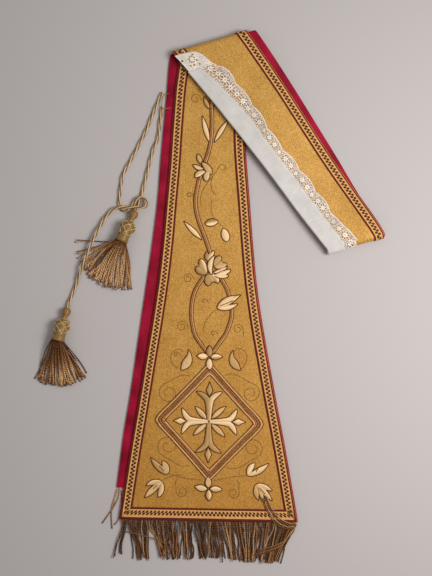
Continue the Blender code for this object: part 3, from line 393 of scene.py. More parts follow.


# ------------------------------------------------------------------ the tassels
# Each head is a turned wooden mould covered with gold thread: a bead, a wound neck, a ball under a
# crossed net, and a collar of thread; the winding is painted darker than the net, as shade between
# its cords. Its skirt is cut bullion, dark at the root and knotted at every tip, and lies fanned out
# on the table; its tips are painted light as a painted highlight, and its lower strands are painted
# darker as shade.
# How far down the mould, and its radius there.
HEAD_SHAPE = (
    (0.0, 1.0),
    (1.0, 3.6),
    (2.5, 5.0),
    (4.5, 5.9),
    (6.0, 6.0),
    (8.0, 5.6),
    (10.0, 4.6),
    (11.5, 3.5),
    (13.0, 3.3),
    (15.0, 3.4),
    (16.5, 4.9),
    (18.5, 7.4),
    (21.5, 9.2),
    (24.5, 9.8),
    (27.5, 9.6),
    (31.0, 8.6),
    (34.0, 7.5),
    (36.5, 7.2),
    (38.0, 7.7),
    (41.0, 8.2),
    (44.0, 8.9),
    (46.0, 9.3),
    (46.4, 6.0),
    (46.4, 1.0),
)
HEAD_WINDS = 0.0009  # between the turns of thread wound on it
HEAD_RIDGE, HEAD_RIDGE_PITCH = 0.12, 1.8  # how high the winding's ridges are, and how far apart
NET_CORDS = 5
NET_FROM, NET_TO = 18.0, 35.0
NET_TWIST = 2.2  # how far round the head one of its cords runs on its way down, in radians
NET_THICK = 0.0021
# Rings of thread round the head: how far down it, and how thick.
HEAD_RINGS = ((16.2, 0.0015), (36.0, 0.0016), (37.6, 0.0014))
# The ways that each skirt's strands fan out between, in degrees, and how long the strands are.
SKIRTS = {"near": (207.0, 281.0, 0.065), "far": (239.0, 302.0, 0.062)}
# The ways of single strands that have come away from a skirt's side.
STRAYS = {"near": (178.0, 180.5, 193.0, 195.5, 200.5, 206.0), "far": (306.0, 309.0)}
SKIRT_STRANDS = 72
# How light each skirt is at its root, halfway and at its tips, the light tips a painted highlight, and
# how much lighter a strand may be.
SKIRT_TONES = {
    "near": (0.17, 0.85, 1.4, (0.27, 0.75, 1.5, 2.0)),
    "far": (0.07, 0.28, 0.85, (0.2, 0.55, 1.2, 1.9)),
}
BULLION_THICK = 0.0018
TIP_KNOT = 0.0028
# The strands are shared out evenly across the fan and through its layers by golden steps.
FAN_STEP, LAYER_STEP = 0.618034, 0.381966
ROOT_OUT, ROOT_SPREAD = 0.0045, 0.0038  # how far from the head's middle the strands start
SKIRT_LOW, SKIRT_DEEP = 0.0009, 0.0052  # how high its lowest strands lie, and from them to the highest
FAN_SWAY = 2.5
SKIRT_BOW = 0.005
# How a strand lies: share of its length, of its way sideways and of its drop to the table.
SKIRT_FALL = ((0.18, 0.16, 0.25), (0.42, 0.40, 0.72), (0.72, 0.72, 1.0), (1.0, 1.0, 1.0))


def head_radius(down):
    """The mould's radius that far down it, both in millimetres."""
    return float(np.interp(down, [z for z, _ in HEAD_SHAPE], [r for _, r in HEAD_SHAPE]))


def on_head(start, turn, down, angle, above):
    """A point round a head, that far down it and above its mould in millimetres."""
    reach = (head_radius(down) + above) * 0.001
    return start + turn @ Vector((math.cos(angle) * reach, math.sin(angle) * reach, -down * 0.001))


def bullion_tip(run, whole):
    """How a strand swells into the small knot at its tip."""
    left = whole - run
    return 1.0 if left > TIP_KNOT else 1.0 + 0.45 * math.sin(math.pi * left / TIP_KNOT)


def turned_head(name, start, way, finish):
    """The head's mould under its winding: a ball pulled out into the turned shape."""
    bpy.ops.object.select_all(action="DESELECT")
    bpy.ops.mesh.primitive_uv_sphere_add(segments=36, ring_count=64, radius=1.0)
    piece = bpy.context.object
    piece.name = name
    turn = Vector((0, 0, -1)).rotation_difference(way).to_matrix()
    layer = piece.data.uv_layers.active
    layer.name = "unrolled"
    downs = []
    for v in piece.data.vertices:
        share = math.acos(max(-1.0, min(1.0, v.co.z))) / math.pi
        down = HEAD_SHAPE[-1][0] * share
        ridge = HEAD_RIDGE * math.cos(2 * math.pi * down / HEAD_RIDGE_PITCH)
        above = ridge if 0 < share < 1 else -head_radius(down)
        v.co = on_head(start, turn, down, math.atan2(v.co.y, v.co.x), above)
        downs.append(down * 0.001)
    for loop in piece.data.loops:
        across = layer.data[loop.index].uv.x * 0.05
        layer.data[loop.index].uv = (across, downs[loop.vertex_index] / HEAD_WINDS)
    piece.data.materials.append(finish)
    piece.data.shade_smooth()
    return piece, turn


# The thread wound on the head is painted darker than the net over it, as shade in the gaps between the net's
# cords.
gold_wound_painted_dark = twisted_thread("wound_gold_thread_painted_dark", (0.50, 0.29, 0.09), (0.10, 0.045, 0.014), 1, 0.36, 0.3)
net_gold = twisted_thread("net_gold_thread", (1.0, 0.72, 0.34), (0.20, 0.10, 0.035), 2, 0.38, 0.3)


def bullion(name):
    """Cut bullion: brown silk and gilt wire twisted together; the attribute tone darkens it, with the
    strand's own tone and with painted shade and painted highlight.
    """
    made = twisted_thread(name, (1.0, 0.61, 0.28), (0.22, 0.095, 0.030), 2, 0.36, 0.15)
    tree = made.node_tree
    base = tree.nodes["Principled BSDF"].inputs["Base Color"]
    tone = added(tree, "Attribute", "Fac", {}, attribute_name="tone")
    depth = shades(tree, tone, (0.0, (0.10, 0.05, 0.03)), (0.5, (0.50, 0.36, 0.25)), (1.0, (1.0, 1.0, 1.0)))
    tree.links.new(mixed(tree, 1.0, base.links[0].from_socket, depth, "MULTIPLY"), base)
    return made


skirt_finish = bullion("skirt_bullion")
for which in ("near", "far"):
    start = TASSEL_HEADS[which][0]
    way = head_axis(which)
    head, turn = turned_head(f"tassel_{which}_head", start, way, gold_wound_painted_dark)
    net = []
    for hand in (-1, 1):
        for k in range(NET_CORDS):
            spots = []
            for t in (i / 18 for i in range(19)):
                angle = 2 * math.pi * (k / NET_CORDS) + hand * NET_TWIST * t
                spots.append(on_head(start, turn, NET_FROM + (NET_TO - NET_FROM) * t, angle, 0.35))
            net.append(strand(spots, NET_THICK, pitch=0.004))
    for down, thick in HEAD_RINGS:
        spots = [on_head(start, turn, down, 2 * math.pi * i / 30, 0.2) for i in range(31)]
        net.append(strand(spots, thick, pitch=0.003))
    net_piece = wound(f"tassel_{which}_net", net, net_gold)

    luck = random.Random(11 if which == "near" else 23)
    fan_from, fan_to, reach = SKIRTS[which]
    foot = start + way * HEAD_LENGTH
    hub = Vector((foot.x, foot.y, 0.0))
    side = Vector((-way.y, way.x, 0.0)).normalized()
    ahead = Vector((way.x, way.y, 0.0)).normalized()
    skirt, tones = [], []
    at_root, halfway, at_tip, varied = SKIRT_TONES[which]
    strays = STRAYS[which]
    for k in range(SKIRT_STRANDS + len(strays)):
        share = (k * FAN_STEP) % 1.0
        layer = (k * LAYER_STEP + 0.13) % 1.0
        root_angle = math.pi * (1 - share)
        root_out = ROOT_OUT + ROOT_SPREAD * luck.random()
        root_up = (2 * layer - 1) * math.sin(root_angle)
        root = foot + side * (-math.cos(root_angle) * root_out)
        root = root + Vector((0, 0, root_up * root_out)) - way * 0.001
        fan = math.radians(fan_to + (fan_from - fan_to) * share + luck.uniform(-FAN_SWAY, FAN_SWAY))
        if k >= SKIRT_STRANDS:
            fan = math.radians(strays[k - SKIRT_STRANDS])
        long = reach * luck.uniform(0.90, 1.02)
        tip = hub + Vector((math.cos(fan), math.sin(fan), 0.0)) * long
        low = SKIRT_LOW + SKIRT_DEEP * layer
        bow = luck.uniform(-SKIRT_BOW, SKIRT_BOW)
        spots = [root]
        for along_it, aside, sunk in SKIRT_FALL:
            spot = root + ahead * (tip - root).dot(ahead) * along_it
            spot = spot + side * ((tip - root).dot(side) * aside + bow * math.sin(math.pi * along_it))
            spot.z = root.z + (low - root.z) * sunk
            spots.append(spot)
        line = smooth_line(spots, 0.0015)
        twist = luck.uniform(0.005, 0.0085)
        skirt.append(strand(line, BULLION_THICK, sides=6, pitch=twist, groove=0.4, swell=bullion_tip))
        # Painted shade: the lower a strand lies in the skirt, the darker it is painted.
        light = (0.5 + 0.6 * layer) * luck.choice(varied)
        tones.append((at_root * light, halfway * light, at_tip * light, 0.2, 0.08))
    skirt_piece = wound(f"tassel_{which}_skirt", skirt, skirt_finish, tones)
    for piece in (head, net_piece, skirt_piece):
        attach(piece, "root")
    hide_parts("tassel_" + which)

for name, which, exit_at in (("cord_long", "far", LONG_CORD[0]), ("cord_short", "near", SHORT_CORD[0])):
    line = tie_lines[name]
    long = sum((b - a).length for a, b in zip(line, line[1:]))


# ------------------------------------------------------------------ the cut, and how it is folded
# Both halves are cut alike, wide at the fringed end and narrow at the neck seam. They lie one on
# the other, are folded over at the chest along a sloping line, and come down to the right, where
# the neck is turned under.
CUT = (
    (0, 119.1), (54, 110.3), (108, 101.2), (162, 91.4), (216, 82.0), (270, 72.8), (324, 65.0),
    (378, 59.4), (432, 55.0), (486, 50.5), (540, 47.8), (580, 47.4), (620, 46.2), (660, 44.6),
    (700, 43.2), (740, 41.5), (810, 38.9), (880, 37.6), (961, 34.2),
)
# How far up, and how far to the right the middle of each half lies there.
MIDDLE = {
    "front": (
        (0, -1.0), (108, -1.9), (216, -2.9), (297, -3.0), (378, -2.1), (459, -1.6), (526, -1.0),
        (567, 1.4), (612, 6.0), (650, 12.0), (700, 16.0), (754, 18.9), (810, 20.1), (864, 19.9),
        (900, 19.4), (975, 19.5),
    ),
    "under": (
        (43, -6.8), (108, -8.6), (162, -8.3), (243, -9.6), (324, -10.8), (378, -10.2), (432, -9.0),
        (513, -9.2), (567, -7.5), (612, -5.0), (650, 1.0), (700, 5.8), (754, 9.3), (810, 11.8),
        (900, 15.6), (975, 19.4),
    ),
}
END = {"front": 0.0, "under": 43.0}
TAKEN_IN = {"front": 0.0, "under": 3.0}
TAKEN_IN_LENGTH = 300.0
END_LEAN, END_LEAN_LENGTH = math.radians(-1.0), 110.0
LEAN_FROM, LEAN_TO = 330.0, 600.0
CENTRE = (45.5, 299.0)

# Heights through the pile: the under half lies face down, the front half face up.
UNDER_FACE = (0.0, 1.2)
UNDER_LINING = (1.5, 2.5)
FRONT_LINING = (2.8, 3.8)
FRONT_FACE = (4.1, 5.3)
PILE = 5.3
SEAM_GAP = 0.3

FOLD_SPOT = Vector((10.8, 638.0))
FOLD_LEAN = math.radians(16.6)
FOLD_ALONG = Vector((math.cos(FOLD_LEAN), math.sin(FOLD_LEAN)))
FOLD_OUT = Vector((-math.sin(FOLD_LEAN), math.cos(FOLD_LEAN)))
FOLD_AXIS = 8.0
FOLD_TAKES = 17.0
SETTLE, SETTLE_LENGTH = 3.0, 60.0
RAMP_FROM, RAMP_LENGTH = 62.0, 120.0
NECK_SPOT = Vector((197.5, 376.4))
NECK_LEAN = math.radians(15.8)
NECK_ALONG = Vector((math.cos(NECK_LEAN), math.sin(NECK_LEAN)))
NECK_OUT = Vector((math.sin(NECK_LEAN), -math.cos(NECK_LEAN)))
NECK_SPRING, NECK_SPRING_LENGTH = 7.0, 95.0
NECK_AXIS = (PILE + NECK_SPRING) / 2
NECK_TAKES = math.pi * (NECK_AXIS - UNDER_LINING[0])
SEAM_BACK = 15.0
RIPPLE = 0.55  # how far the top of the pile lies up and down from flat
RIPPLE_MOST = 1.6  # how many times that the highest folds may
# Its waves: how long across and up the cloth, where in the noise they are read, and their share.
RIPPLE_WAVES = ((46, 75, 3.1, 1.0), (21, 34, 8.7, 0.45))
NOISE_GAIN = 1.6  # brings the noise, which swings about 0.6 each way, to 1


def read(table, at):
    """The value at one place on a smooth curve through a table's rows."""
    if at <= table[0][0]:
        return table[0][1]
    if at >= table[-1][0]:
        return table[-1][1]
    last = len(table) - 1
    i = next(k for k in range(last) if at <= table[k + 1][0])
    (x0, y0), (x1, y1) = table[i], table[i + 1]
    before, after = table[max(i - 1, 0)], table[min(i + 2, last)]
    length = x1 - x0
    slope0 = (y1 - before[1]) / (x1 - before[0])
    slope1 = (after[1] - y0) / (after[0] - x0)
    t = (at - x0) / length
    ends = y0 * (1 + 2 * t) * (1 - t) ** 2 + y1 * t * t * (3 - 2 * t)
    return ends + slope0 * length * t * (1 - t) ** 2 - slope1 * length * t * t * (1 - t)


def eased(t):
    """0 before 0, 1 after 1, and a smooth rise between."""
    t = min(max(t, 0.0), 1.0)
    return t * t * (3 - 2 * t)


def folded_over(flat):
    """Where cloth beyond the top fold comes down, seen from above."""
    d = flat - FOLD_SPOT
    return FOLD_SPOT + FOLD_ALONG * d.dot(FOLD_ALONG) - FOLD_OUT * (d.dot(FOLD_OUT) - FOLD_TAKES)


def unfolded(laid):
    """The same mirror, back again."""
    d = laid - FOLD_SPOT
    return FOLD_SPOT + FOLD_ALONG * d.dot(FOLD_ALONG) + FOLD_OUT * (FOLD_TAKES - d.dot(FOLD_OUT))


def rippled(x, y, z):
    """Worn cloth lies a little up and down, the whole pile together and never into the table."""
    wave = sum(part * noise.noise(Vector((x / wide, y / long, at))) for wide, long, at, part in RIPPLE_WAVES)
    return Vector((x, y, z + RIPPLE * NOISE_GAIN * wave * min(max(z, 0.0) / PILE, RIPPLE_MOST)))


def lie(x, y, h):
    """Where a point of the flat cut lies once the stole is folded and laid down."""
    flat = Vector((x, y))
    past = (flat - FOLD_SPOT).dot(FOLD_OUT)
    if past <= 0:
        return rippled(x, y, h)
    if past < FOLD_TAKES:
        turn = math.pi * past / FOLD_TAKES
        radius = FOLD_AXIS - h
        spot = FOLD_SPOT + FOLD_ALONG * (flat - FOLD_SPOT).dot(FOLD_ALONG)
        spot += FOLD_OUT * radius * math.sin(turn)
        return rippled(spot.x, spot.y, FOLD_AXIS - radius * math.cos(turn))
    spot = folded_over(flat)
    past_neck = (spot - NECK_SPOT).dot(NECK_OUT)
    on_top = h < (UNDER_LINING[1] + FRONT_LINING[0]) / 2
    if past_neck > 0 and on_top:
        radius = NECK_AXIS - h
        edge = spot - NECK_OUT * past_neck
        if past_neck < NECK_TAKES:
            turn = math.pi * past_neck / NECK_TAKES
            spot = edge + NECK_OUT * radius * math.sin(turn)
            return rippled(spot.x, spot.y, NECK_AXIS + radius * math.cos(turn))
        spot = edge - NECK_OUT * (past_neck - NECK_TAKES)
        return rippled(spot.x, spot.y, NECK_AXIS - radius)
    on_front = 2 * FOLD_AXIS - PILE - SETTLE * eased((past - FOLD_TAKES) / SETTLE_LENGTH)
    height = on_front * (1 - eased((spot.x - RAMP_FROM) / RAMP_LENGTH)) + PILE - h
    if on_top:
        height += NECK_SPRING * eased(1 + past_neck / NECK_SPRING_LENGTH)
    return rippled(spot.x, spot.y, height)


def in_metres(spot):
    """A laid point in the scene's metres."""
    return Vector(((spot.x - CENTRE[0]) / 1000, (spot.y - CENTRE[1]) / 1000, spot.z / 1000))


def half_width(half, y):
    """Half the width of the cloth at one place up it."""
    up = y - END[half]
    return read(CUT, up) - TAKEN_IN[half] * (1 - eased(up / TAKEN_IN_LENGTH))


def crossing(half, side, y_middle, lean):
    """Where a row across the cut meets the half's left (-1) or right (1) edge."""
    x, y = 0.0, y_middle
    for _ in range(12):
        x = read(MIDDLE[half], y) + side * half_width(half, y)
        y = y_middle + math.tan(lean) * (x - FOLD_SPOT.x)
    return Vector((x, y))


def lean_at(y):
    """Rows lie straight across the wide end and turn to run along the top fold."""
    if y < END_LEAN_LENGTH:
        return END_LEAN * (1 - y / END_LEAN_LENGTH)
    return FOLD_LEAN * eased((y - LEAN_FROM) / (LEAN_TO - LEAN_FROM))


def fold_row(past):
    """The row of the cut that lies that far past the start of the top fold."""
    return FOLD_SPOT.y + past / math.cos(FOLD_LEAN), FOLD_LEAN


def neck_row():
    """The neck fold as a row of the flat cut: its height at the middle, and its lean."""
    start = unfolded(NECK_SPOT)
    step = unfolded(NECK_SPOT + NECK_ALONG) - start
    lean = math.atan2(step.y, step.x)
    return start.y - math.tan(lean) * (start.x - FOLD_SPOT.x), lean


def main_rows(half, step):
    """Rows from the wide end up to the start of the top fold."""
    count = round((FOLD_SPOT.y - END[half]) / step)
    spots = [END[half] + (FOLD_SPOT.y - END[half]) * i / count for i in range(count)]
    return [(y, lean_at(y)) for y in spots]


def turn_rows(start, count):
    """Rows round the top fold, from that far into it to where it comes down."""
    return [fold_row(start + (FOLD_TAKES - start) * i / count) for i in range(count)]


def neck_rows(count, start=0.0):
    """Rows from that far past where the top fold comes down to the neck fold."""
    (y0, lean0), (y1, lean1) = fold_row(FOLD_TAKES + start), neck_row()
    shares = [i / count for i in range(count + 1)]
    return [(y0 + (y1 - y0) * t, lean0 + (lean1 - lean0) * t) for t in shares]


def edge_pairs(half, rows):
    """The two ends of each row, on the half's edges."""
    return [[crossing(half, side, y, lean) for side in (-1, 1)] for y, lean in rows]


def past_neck_pairs(whole, count, back_rows=0):
    """Rows of the under half round the neck fold, in degrees, then back underneath to the neck seam."""
    y_neck, lean = neck_row()
    here = [folded_over(crossing("under", side, y_neck, lean)) for side in (-1, 1)]
    y_seam = y_neck - SEAM_BACK / math.cos(lean)
    seam = [folded_over(crossing("front", side, y_seam, lean)) for side in (-1, 1)]
    pairs = []
    for turn in (whole * (i + 1) / count for i in range(count)):
        pairs.append([unfolded(p + NECK_OUT * NECK_TAKES * turn / 180) for p in here])
    for k in range(back_rows):
        t = (k + 1) / back_rows
        slides = [NECK_ALONG * (b - a).dot(NECK_ALONG) * t for a, b in zip(here, seam)]
        ends = [a + s + NECK_OUT * (NECK_TAKES + SEAM_BACK * t) for a, s in zip(here, slides)]
        pairs.append([unfolded(p) for p in ends])
    return pairs


def half_rows(half):
    """All rows of one half's cloth, as ends on its edges, from its wide end to the neck seam."""
    rows = main_rows(half, 7.0) + turn_rows(0.0, 24) + neck_rows(48)
    if half == "under":
        return edge_pairs(half, rows) + past_neck_pairs(180, 16, 3)
    y_neck, lean = neck_row()
    seam = y_neck - (SEAM_BACK + SEAM_GAP) / math.cos(lean)
    return edge_pairs(half, [row for row in rows if row[0] < seam - 4.0] + [(seam, lean)])


def ahead_at(line, i):
    """The way a run of points goes at one of them."""
    return line[min(i + 1, len(line) - 1)] - line[max(i - 1, 0)]


def share_in(edge, other, i, distance):
    """How far across row i a point is that lies that far in from the edge."""
    step = other[i] - edge[i]
    return distance / abs(step.normalized().cross(ahead_at(edge, i).normalized())) / step.length


def spread(name, rows, unrolled, finish, thick=0.0, rounding=0.0):
    """A grid primitive pulled into shape: its points go to the rows of laid points, in millimetres."""
    down, over = len(rows) - 1, len(rows[0]) - 1
    bpy.ops.object.select_all(action="DESELECT")
    bpy.ops.mesh.primitive_grid_add(x_subdivisions=over, y_subdivisions=down, size=1.0)
    piece = bpy.context.object
    piece.name = piece.data.name = name
    spots = []
    for v in piece.data.vertices:
        spots.append((round((v.co.y + 0.5) * down), round((v.co.x + 0.5) * over)))
    for v, (row, column) in zip(piece.data.vertices, spots):
        v.co = in_metres(rows[row][column])
    layer = piece.data.uv_layers.active
    layer.name = "unrolled"
    for loop in piece.data.loops:
        row, column = spots[loop.vertex_index]
        layer.data[loop.index].uv = unrolled[row][column]
    if thick:
        wall = piece.modifiers.new("wall", "SOLIDIFY")
        wall.thickness = thick / 1000
        bpy.ops.object.modifier_apply(modifier="wall")
    if rounding:
        edge = piece.modifiers.new("edge", "BEVEL")
        edge.width = rounding / 1000
        edge.segments = 2
        edge.limit_method = "ANGLE"
        edge.angle_limit = math.radians(50)
        bpy.ops.object.modifier_apply(modifier="edge")
    piece.data.materials.append(finish)
    piece.data.shade_smooth()
    return piece


# ------------------------------------------------------------------ faces and linings
# Gold cloth, woven of gilt thread on silk, over a crimson satin lining that shows along its edges
# and down the left of the under half.
LINING_MARGIN = 1.6
COLUMNS = 40


def gold_cloth():
    """Cloth of gold: gilt weft over silk, with faint streaks, and browner towards the wide end."""
    made, tree = new_finish("cloth_of_gold", 0.5, 0.2, 0.12)
    cloth, level = unrolled_place(tree), 0.0
    # Each unevenness: how many to the metre across and up the cloth, its detail and its share.
    for across, up, detail, share in ((620, 900, 2.0, 0.66), (260, 210, 2.0, 0.20), (40, 34, 3.0, 0.14)):
        sized = added(tree, "Mapping", "Vector", {"Vector": cloth, "Scale": (across, up, 1.0)})
        level = maths(tree, "MULTIPLY_ADD", uneven(tree, sized, 1.0, detail), share, level)
    gold = ((0.37, (0.39, 0.175, 0.024)), (0.5, (0.59, 0.305, 0.064)), (0.63, (0.80, 0.475, 0.125)))
    up = added(tree, "SeparateXYZ", "Y", {"Vector": laid_place(tree)})
    worn = added(tree, "MapRange", "Result", {"Value": up, "From Min": 0.22, "From Max": -0.32})
    colour = mixed(tree, worn, shades(tree, level, *gold), (0.88, 0.76, 0.62, 1.0), "MULTIPLY")
    finished(tree, colour, level, 0.45, 0.0004)
    return made


def crimson_satin():
    """Crimson silk satin, its colour a little uneven where it has been handled."""
    made, tree = new_finish("crimson_satin", 0.55, 0.12)
    place = laid_place(tree)
    handled = uneven(tree, place, 34.0, 3.0)
    colour = shades(tree, handled, (0.32, (0.22, 0.002, 0.014)), (0.68, (0.44, 0.006, 0.038)))
    finished(tree, colour, uneven(tree, place, 900.0), 0.2, 0.0003)
    return made


gold, crimson = gold_cloth(), crimson_satin()
for node, half, margin, (low, high), finish, kind in (
    ("face_front", "front", 0.0, FRONT_FACE, gold, "gold_cloth"),
    ("lining_front", "front", LINING_MARGIN, FRONT_LINING, crimson, "crimson_lining"),
    ("lining_under", "under", LINING_MARGIN, UNDER_LINING, crimson, "crimson_lining"),
    ("face_under", "under", 0.0, UNDER_FACE, gold, "gold_cloth"),
):
    left, right = (list(side) for side in zip(*half_rows(half)))
    rows, unrolled = [], []
    for i, (a, b) in enumerate(zip(left, right)):
        out = share_in(left, right, i, margin)
        spots = [a.lerp(b, -out + (1 + 2 * out) * k / COLUMNS) for k in range(COLUMNS + 1)]
        rows.append([lie(p.x, p.y, high) for p in spots])
        unrolled.append([(p.x / 1000, p.y / 1000) for p in spots])
    piece = spread("cloth_" + node, rows, unrolled, finish, thick=high - low, rounding=0.25)
    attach(piece, "root")
    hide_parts(node)


# ------------------------------------------------------------------ galloon
# Woven trimming stitched down both sides and across the wide end, and along the right edge of the
# folded neck: peach silk, with two rows of dark blocks out of step and a dark red line each side;
# the outer line is drawn wider, with painted shade along the trimming's outer edge.
GALLOON_WIDTH = 13.4
END_GALLOON = 16.4
GALLOON_INSET = 0.6
GALLOON_THICK = 0.8
# Across its width: share, and how high the weave stands there.
GALLOON_FORM = (
    (0.0, 0.35), (0.04, 0.85), (0.09, 1.0), (0.14, 0.6), (0.30, 0.65), (0.36, 0.9), (0.5, 1.05),
    (0.64, 0.9), (0.70, 0.65), (0.86, 0.6), (0.91, 1.0), (0.96, 0.85), (1.0, 0.35),
)
BLOCK_PITCH = 5.25
BLOCK_SIZE = 1.75
BLOCK_ROWS = (5.6, 8.3)  # how far the two rows of blocks are from the inner edge
# Where the dark red lines stop and start, from the inner edge: the outer one runs on to the outer edge, the
# woven line widened by painted shade.
INNER_LINE, OUTER_LINE_AND_SHADE = 2.3, 11.7
WEFT_PITCH, WEFT_GAP = 0.55, 0.12
# Where its outer and its inner corner are at the wide end: how far up, and in from the side edge.
INNER_CORNER = GALLOON_INSET + END_GALLOON
CORNERS = ((GALLOON_INSET, GALLOON_INSET), (INNER_CORNER, GALLOON_INSET + GALLOON_WIDTH))
TOP_TRIM_FROM = 36.0 / 180 * FOLD_TAKES  # it shows from 36 degrees round the top fold
NECK_TRIM_TURN = 128  # how far round the neck fold the trimmings go, in degrees


def galloon_weave():
    """Peach silk with red-brown lines and blocks, the outer line widened by painted shade, ribbed across by
    its weft.
    """
    made, tree = new_finish("galloon_weave", 0.6, 0.2)
    unrolled = unrolled_place(tree)
    along_it, across = (added(tree, "SeparateXYZ", axis, {"Vector": unrolled}) for axis in "XY")

    def step(*values):
        return maths(tree, *values)

    def block(along_block, row):
        off_row = step("SUBTRACT", across, row)
        apart = step("ADD", step("MULTIPLY", along_block, along_block), step("MULTIPLY", off_row, off_row))
        return step("LESS_THAN", apart, BLOCK_SIZE**2)

    tooth = step("PINGPONG", along_it, BLOCK_PITCH / 2)
    other_tooth = step("SUBTRACT", BLOCK_PITCH / 2, tooth)
    blocks = step("MAXIMUM", block(tooth, BLOCK_ROWS[0]), block(other_tooth, BLOCK_ROWS[1]))
    dark_lines_and_edge_shade = step("MAXIMUM", step("LESS_THAN", across, INNER_LINE), step("GREATER_THAN", across, OUTER_LINE_AND_SHADE))
    grain = uneven(tree, laid_place(tree), 1100.0)
    colour = shades(tree, grain, (0.35, (0.60, 0.25, 0.056)), (0.65, (0.96, 0.545, 0.19)))
    colour = mixed(tree, blocks, colour, (0.075, 0.016, 0.005, 1.0))
    colour = mixed(tree, dark_lines_and_edge_shade, colour, (0.13, 0.010, 0.006, 1.0))
    raised = step("MULTIPLY_ADD", step("MAXIMUM", blocks, dark_lines_and_edge_shade), 0.5, grain)
    weft_gap = step("LESS_THAN", step("PINGPONG", along_it, WEFT_PITCH), WEFT_GAP)
    finished(tree, colour, step("SUBTRACT", raised, weft_gap), 0.45, 0.0003)
    return made


def runs_along(points):
    """How far along a run of points each one is."""
    runs = [0.0]
    for a, b in zip(points, points[1:]):
        runs.append(runs[-1] + (b - a).length)
    return runs


def walked(points, step):
    """The same run of points, put in again about a step apart, and how far along each one is."""
    lengths = runs_along(points)
    count = max(1, round(lengths[-1] / step))
    spots, runs, i = [], [], 0
    for k in range(count + 1):
        run = lengths[-1] * k / count
        while i < len(points) - 2 and lengths[i + 1] < run:
            i += 1
        t = (run - lengths[i]) / max(lengths[i + 1] - lengths[i], 1e-9)
        spots.append(points[i].lerp(points[i + 1], min(t, 1.0)))
        runs.append(run)
    return spots, runs


def galloon_strip(name, outer, inner, base, out=1, inner_first=False, wide=GALLOON_WIDTH):
    """A woven strip between two runs of points on the flat cut, raised on one side of the cloth."""
    rows, unrolled = [], []
    run = 0.0
    plain = BLOCK_ROWS[1] + BLOCK_SIZE
    first, second = (inner, outer) if inner_first else (outer, inner)
    for i, (a, b) in enumerate(zip(first, second)):
        if i:
            run += ((a + b) / 2 - (first[i - 1] + second[i - 1]) / 2).length
        row, marks = [], []
        for share, high in GALLOON_FORM:
            p = a.lerp(b, share)
            row.append(lie(p.x, p.y, base + out * GALLOON_THICK * high))
            from_inner = wide * (share if inner_first else 1 - share)
            if from_inner > plain:
                from_inner = plain + (from_inner - plain) * (GALLOON_WIDTH - plain) / (wide - plain)
            marks.append((run, from_inner))
        rows.append(row)
        unrolled.append(marks)
    return spread(name, rows, unrolled, weave, thick=0.4)


def galloon_runs(edge, other, rows):
    """The outer and the inner edge of a galloon along one side of the cut, at some of its rows."""
    runs = []
    for inset in (GALLOON_INSET, GALLOON_INSET + GALLOON_WIDTH):
        runs.append([edge[i].lerp(other[i], share_in(edge, other, i, inset)) for i in rows])
    return runs


def end_corner(side, up, cut_off):
    """Where a mitre starts at the wide end, on the left (-1) or the right (1)."""
    here, there = (crossing("front", s, up, lean_at(0)) for s in (side, -side))
    return here + (there - here).normalized() * cut_off


weave = galloon_weave()
left, right = (list(side) for side in zip(*edge_pairs("front", main_rows("front", 3.0) + [fold_row(-2.0)])))
galloons = []
for name, side, edge, other in (("galloon_left", -1, left, right), ("galloon_right", 1, right, left)):
    runs = galloon_runs(edge, other, [i for i, p in enumerate(edge) if p.y >= INNER_CORNER + 0.5])
    for run, corner in zip(runs, CORNERS):
        run.insert(0, end_corner(side, *corner))
    galloons.append(galloon_strip(name, *runs, PILE + SEAM_GAP, inner_first=edge is left))
runs = []
for corner in CORNERS:
    a, b = end_corner(-1, *corner), end_corner(1, *corner)
    runs.append([a.lerp(b, k / 80) for k in range(81)])
galloons.append(galloon_strip("galloon_end", *runs, PILE + SEAM_GAP, wide=END_GALLOON))
for piece in galloons:
    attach(piece, "root")
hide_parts("galloon_front")

pairs = edge_pairs("under", turn_rows(TOP_TRIM_FROM, 18) + neck_rows(100))
pairs += past_neck_pairs(NECK_TRIM_TURN, 12)
left, right = (list(side) for side in zip(*pairs))
for name, node, edge, other, upto in (
    ("galloon_neck_edge", "galloon_neck", right, left, len(pairs)),
    ("galloon_fold_edge", "galloon_fold", left, right, 20),
):
    runs = galloon_runs(edge, other, range(upto))
    piece = galloon_strip(name, *runs, -SEAM_GAP, out=-1, inner_first=edge is left)
    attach(piece, "root")
    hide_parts(node)


# ------------------------------------------------------------------ goldwork
# Padded shapes worked over in satin stitch with metal thread, each edged with a couched dark cord;
# stems and a lozenge of laid cords, and thin scrolls in chain stitch.
SATIN_RAISE = 1.3
PAD_LOW, PAD_SLOPE = 0.35, 0.26  # how high a pad is at least, and how much more for its half width
PAD_SUNK = 0.2
EDGE_CORD = 1.5
EDGE_OUT, EDGE_UP = 0.35, 0.35  # how far out from a shape, and how high, the middle of its cord is
LEAF_ROWS = 14
# Foot x and y, tip x and y, width, bend to the left, where it is widest, how sharp its foot and
# its tip are (1 is pointed, 0.5 round), and how light its left and right sides are painted: mostly a
# painted reflection and painted shade that follow the way the metal thread lies.
QUATREFOILS = (
    (0.9, 220.7, 0.6, 236.2, 8.6, 0.0, 0.42, 0.75, 0.95, 0.25, 0.35),
    (2.3, 220.1, 18.3, 220.6, 8.2, 0.6, 0.42, 0.75, 0.95, 0.95, 0.35),
    (0.6, 218.7, 0.9, 203.4, 8.4, 0.0, 0.5, 0.6, 0.7, 1.0, 1.0),
    (-1.0, 221.7, -16.0, 222.7, 8.6, 0.6, 0.48, 0.75, 0.95, 1.0, 0.95),
    (-0.5, 45.3, -0.9, 60.4, 8.4, 0.0, 0.45, 0.75, 0.85, 0.8, 0.6),
    (1.1, 43.6, 17.8, 42.4, 7.8, 0.5, 0.45, 0.75, 0.95, 0.85, 0.7),
    (-0.2, 42.9, -0.1, 27.9, 8.0, 0.0, 0.5, 0.7, 0.9, 0.8, 0.6),
    (-2.1, 43.7, -19.0, 47.1, 8.2, 0.5, 0.48, 0.75, 0.95, 0.9, 0.8),
)
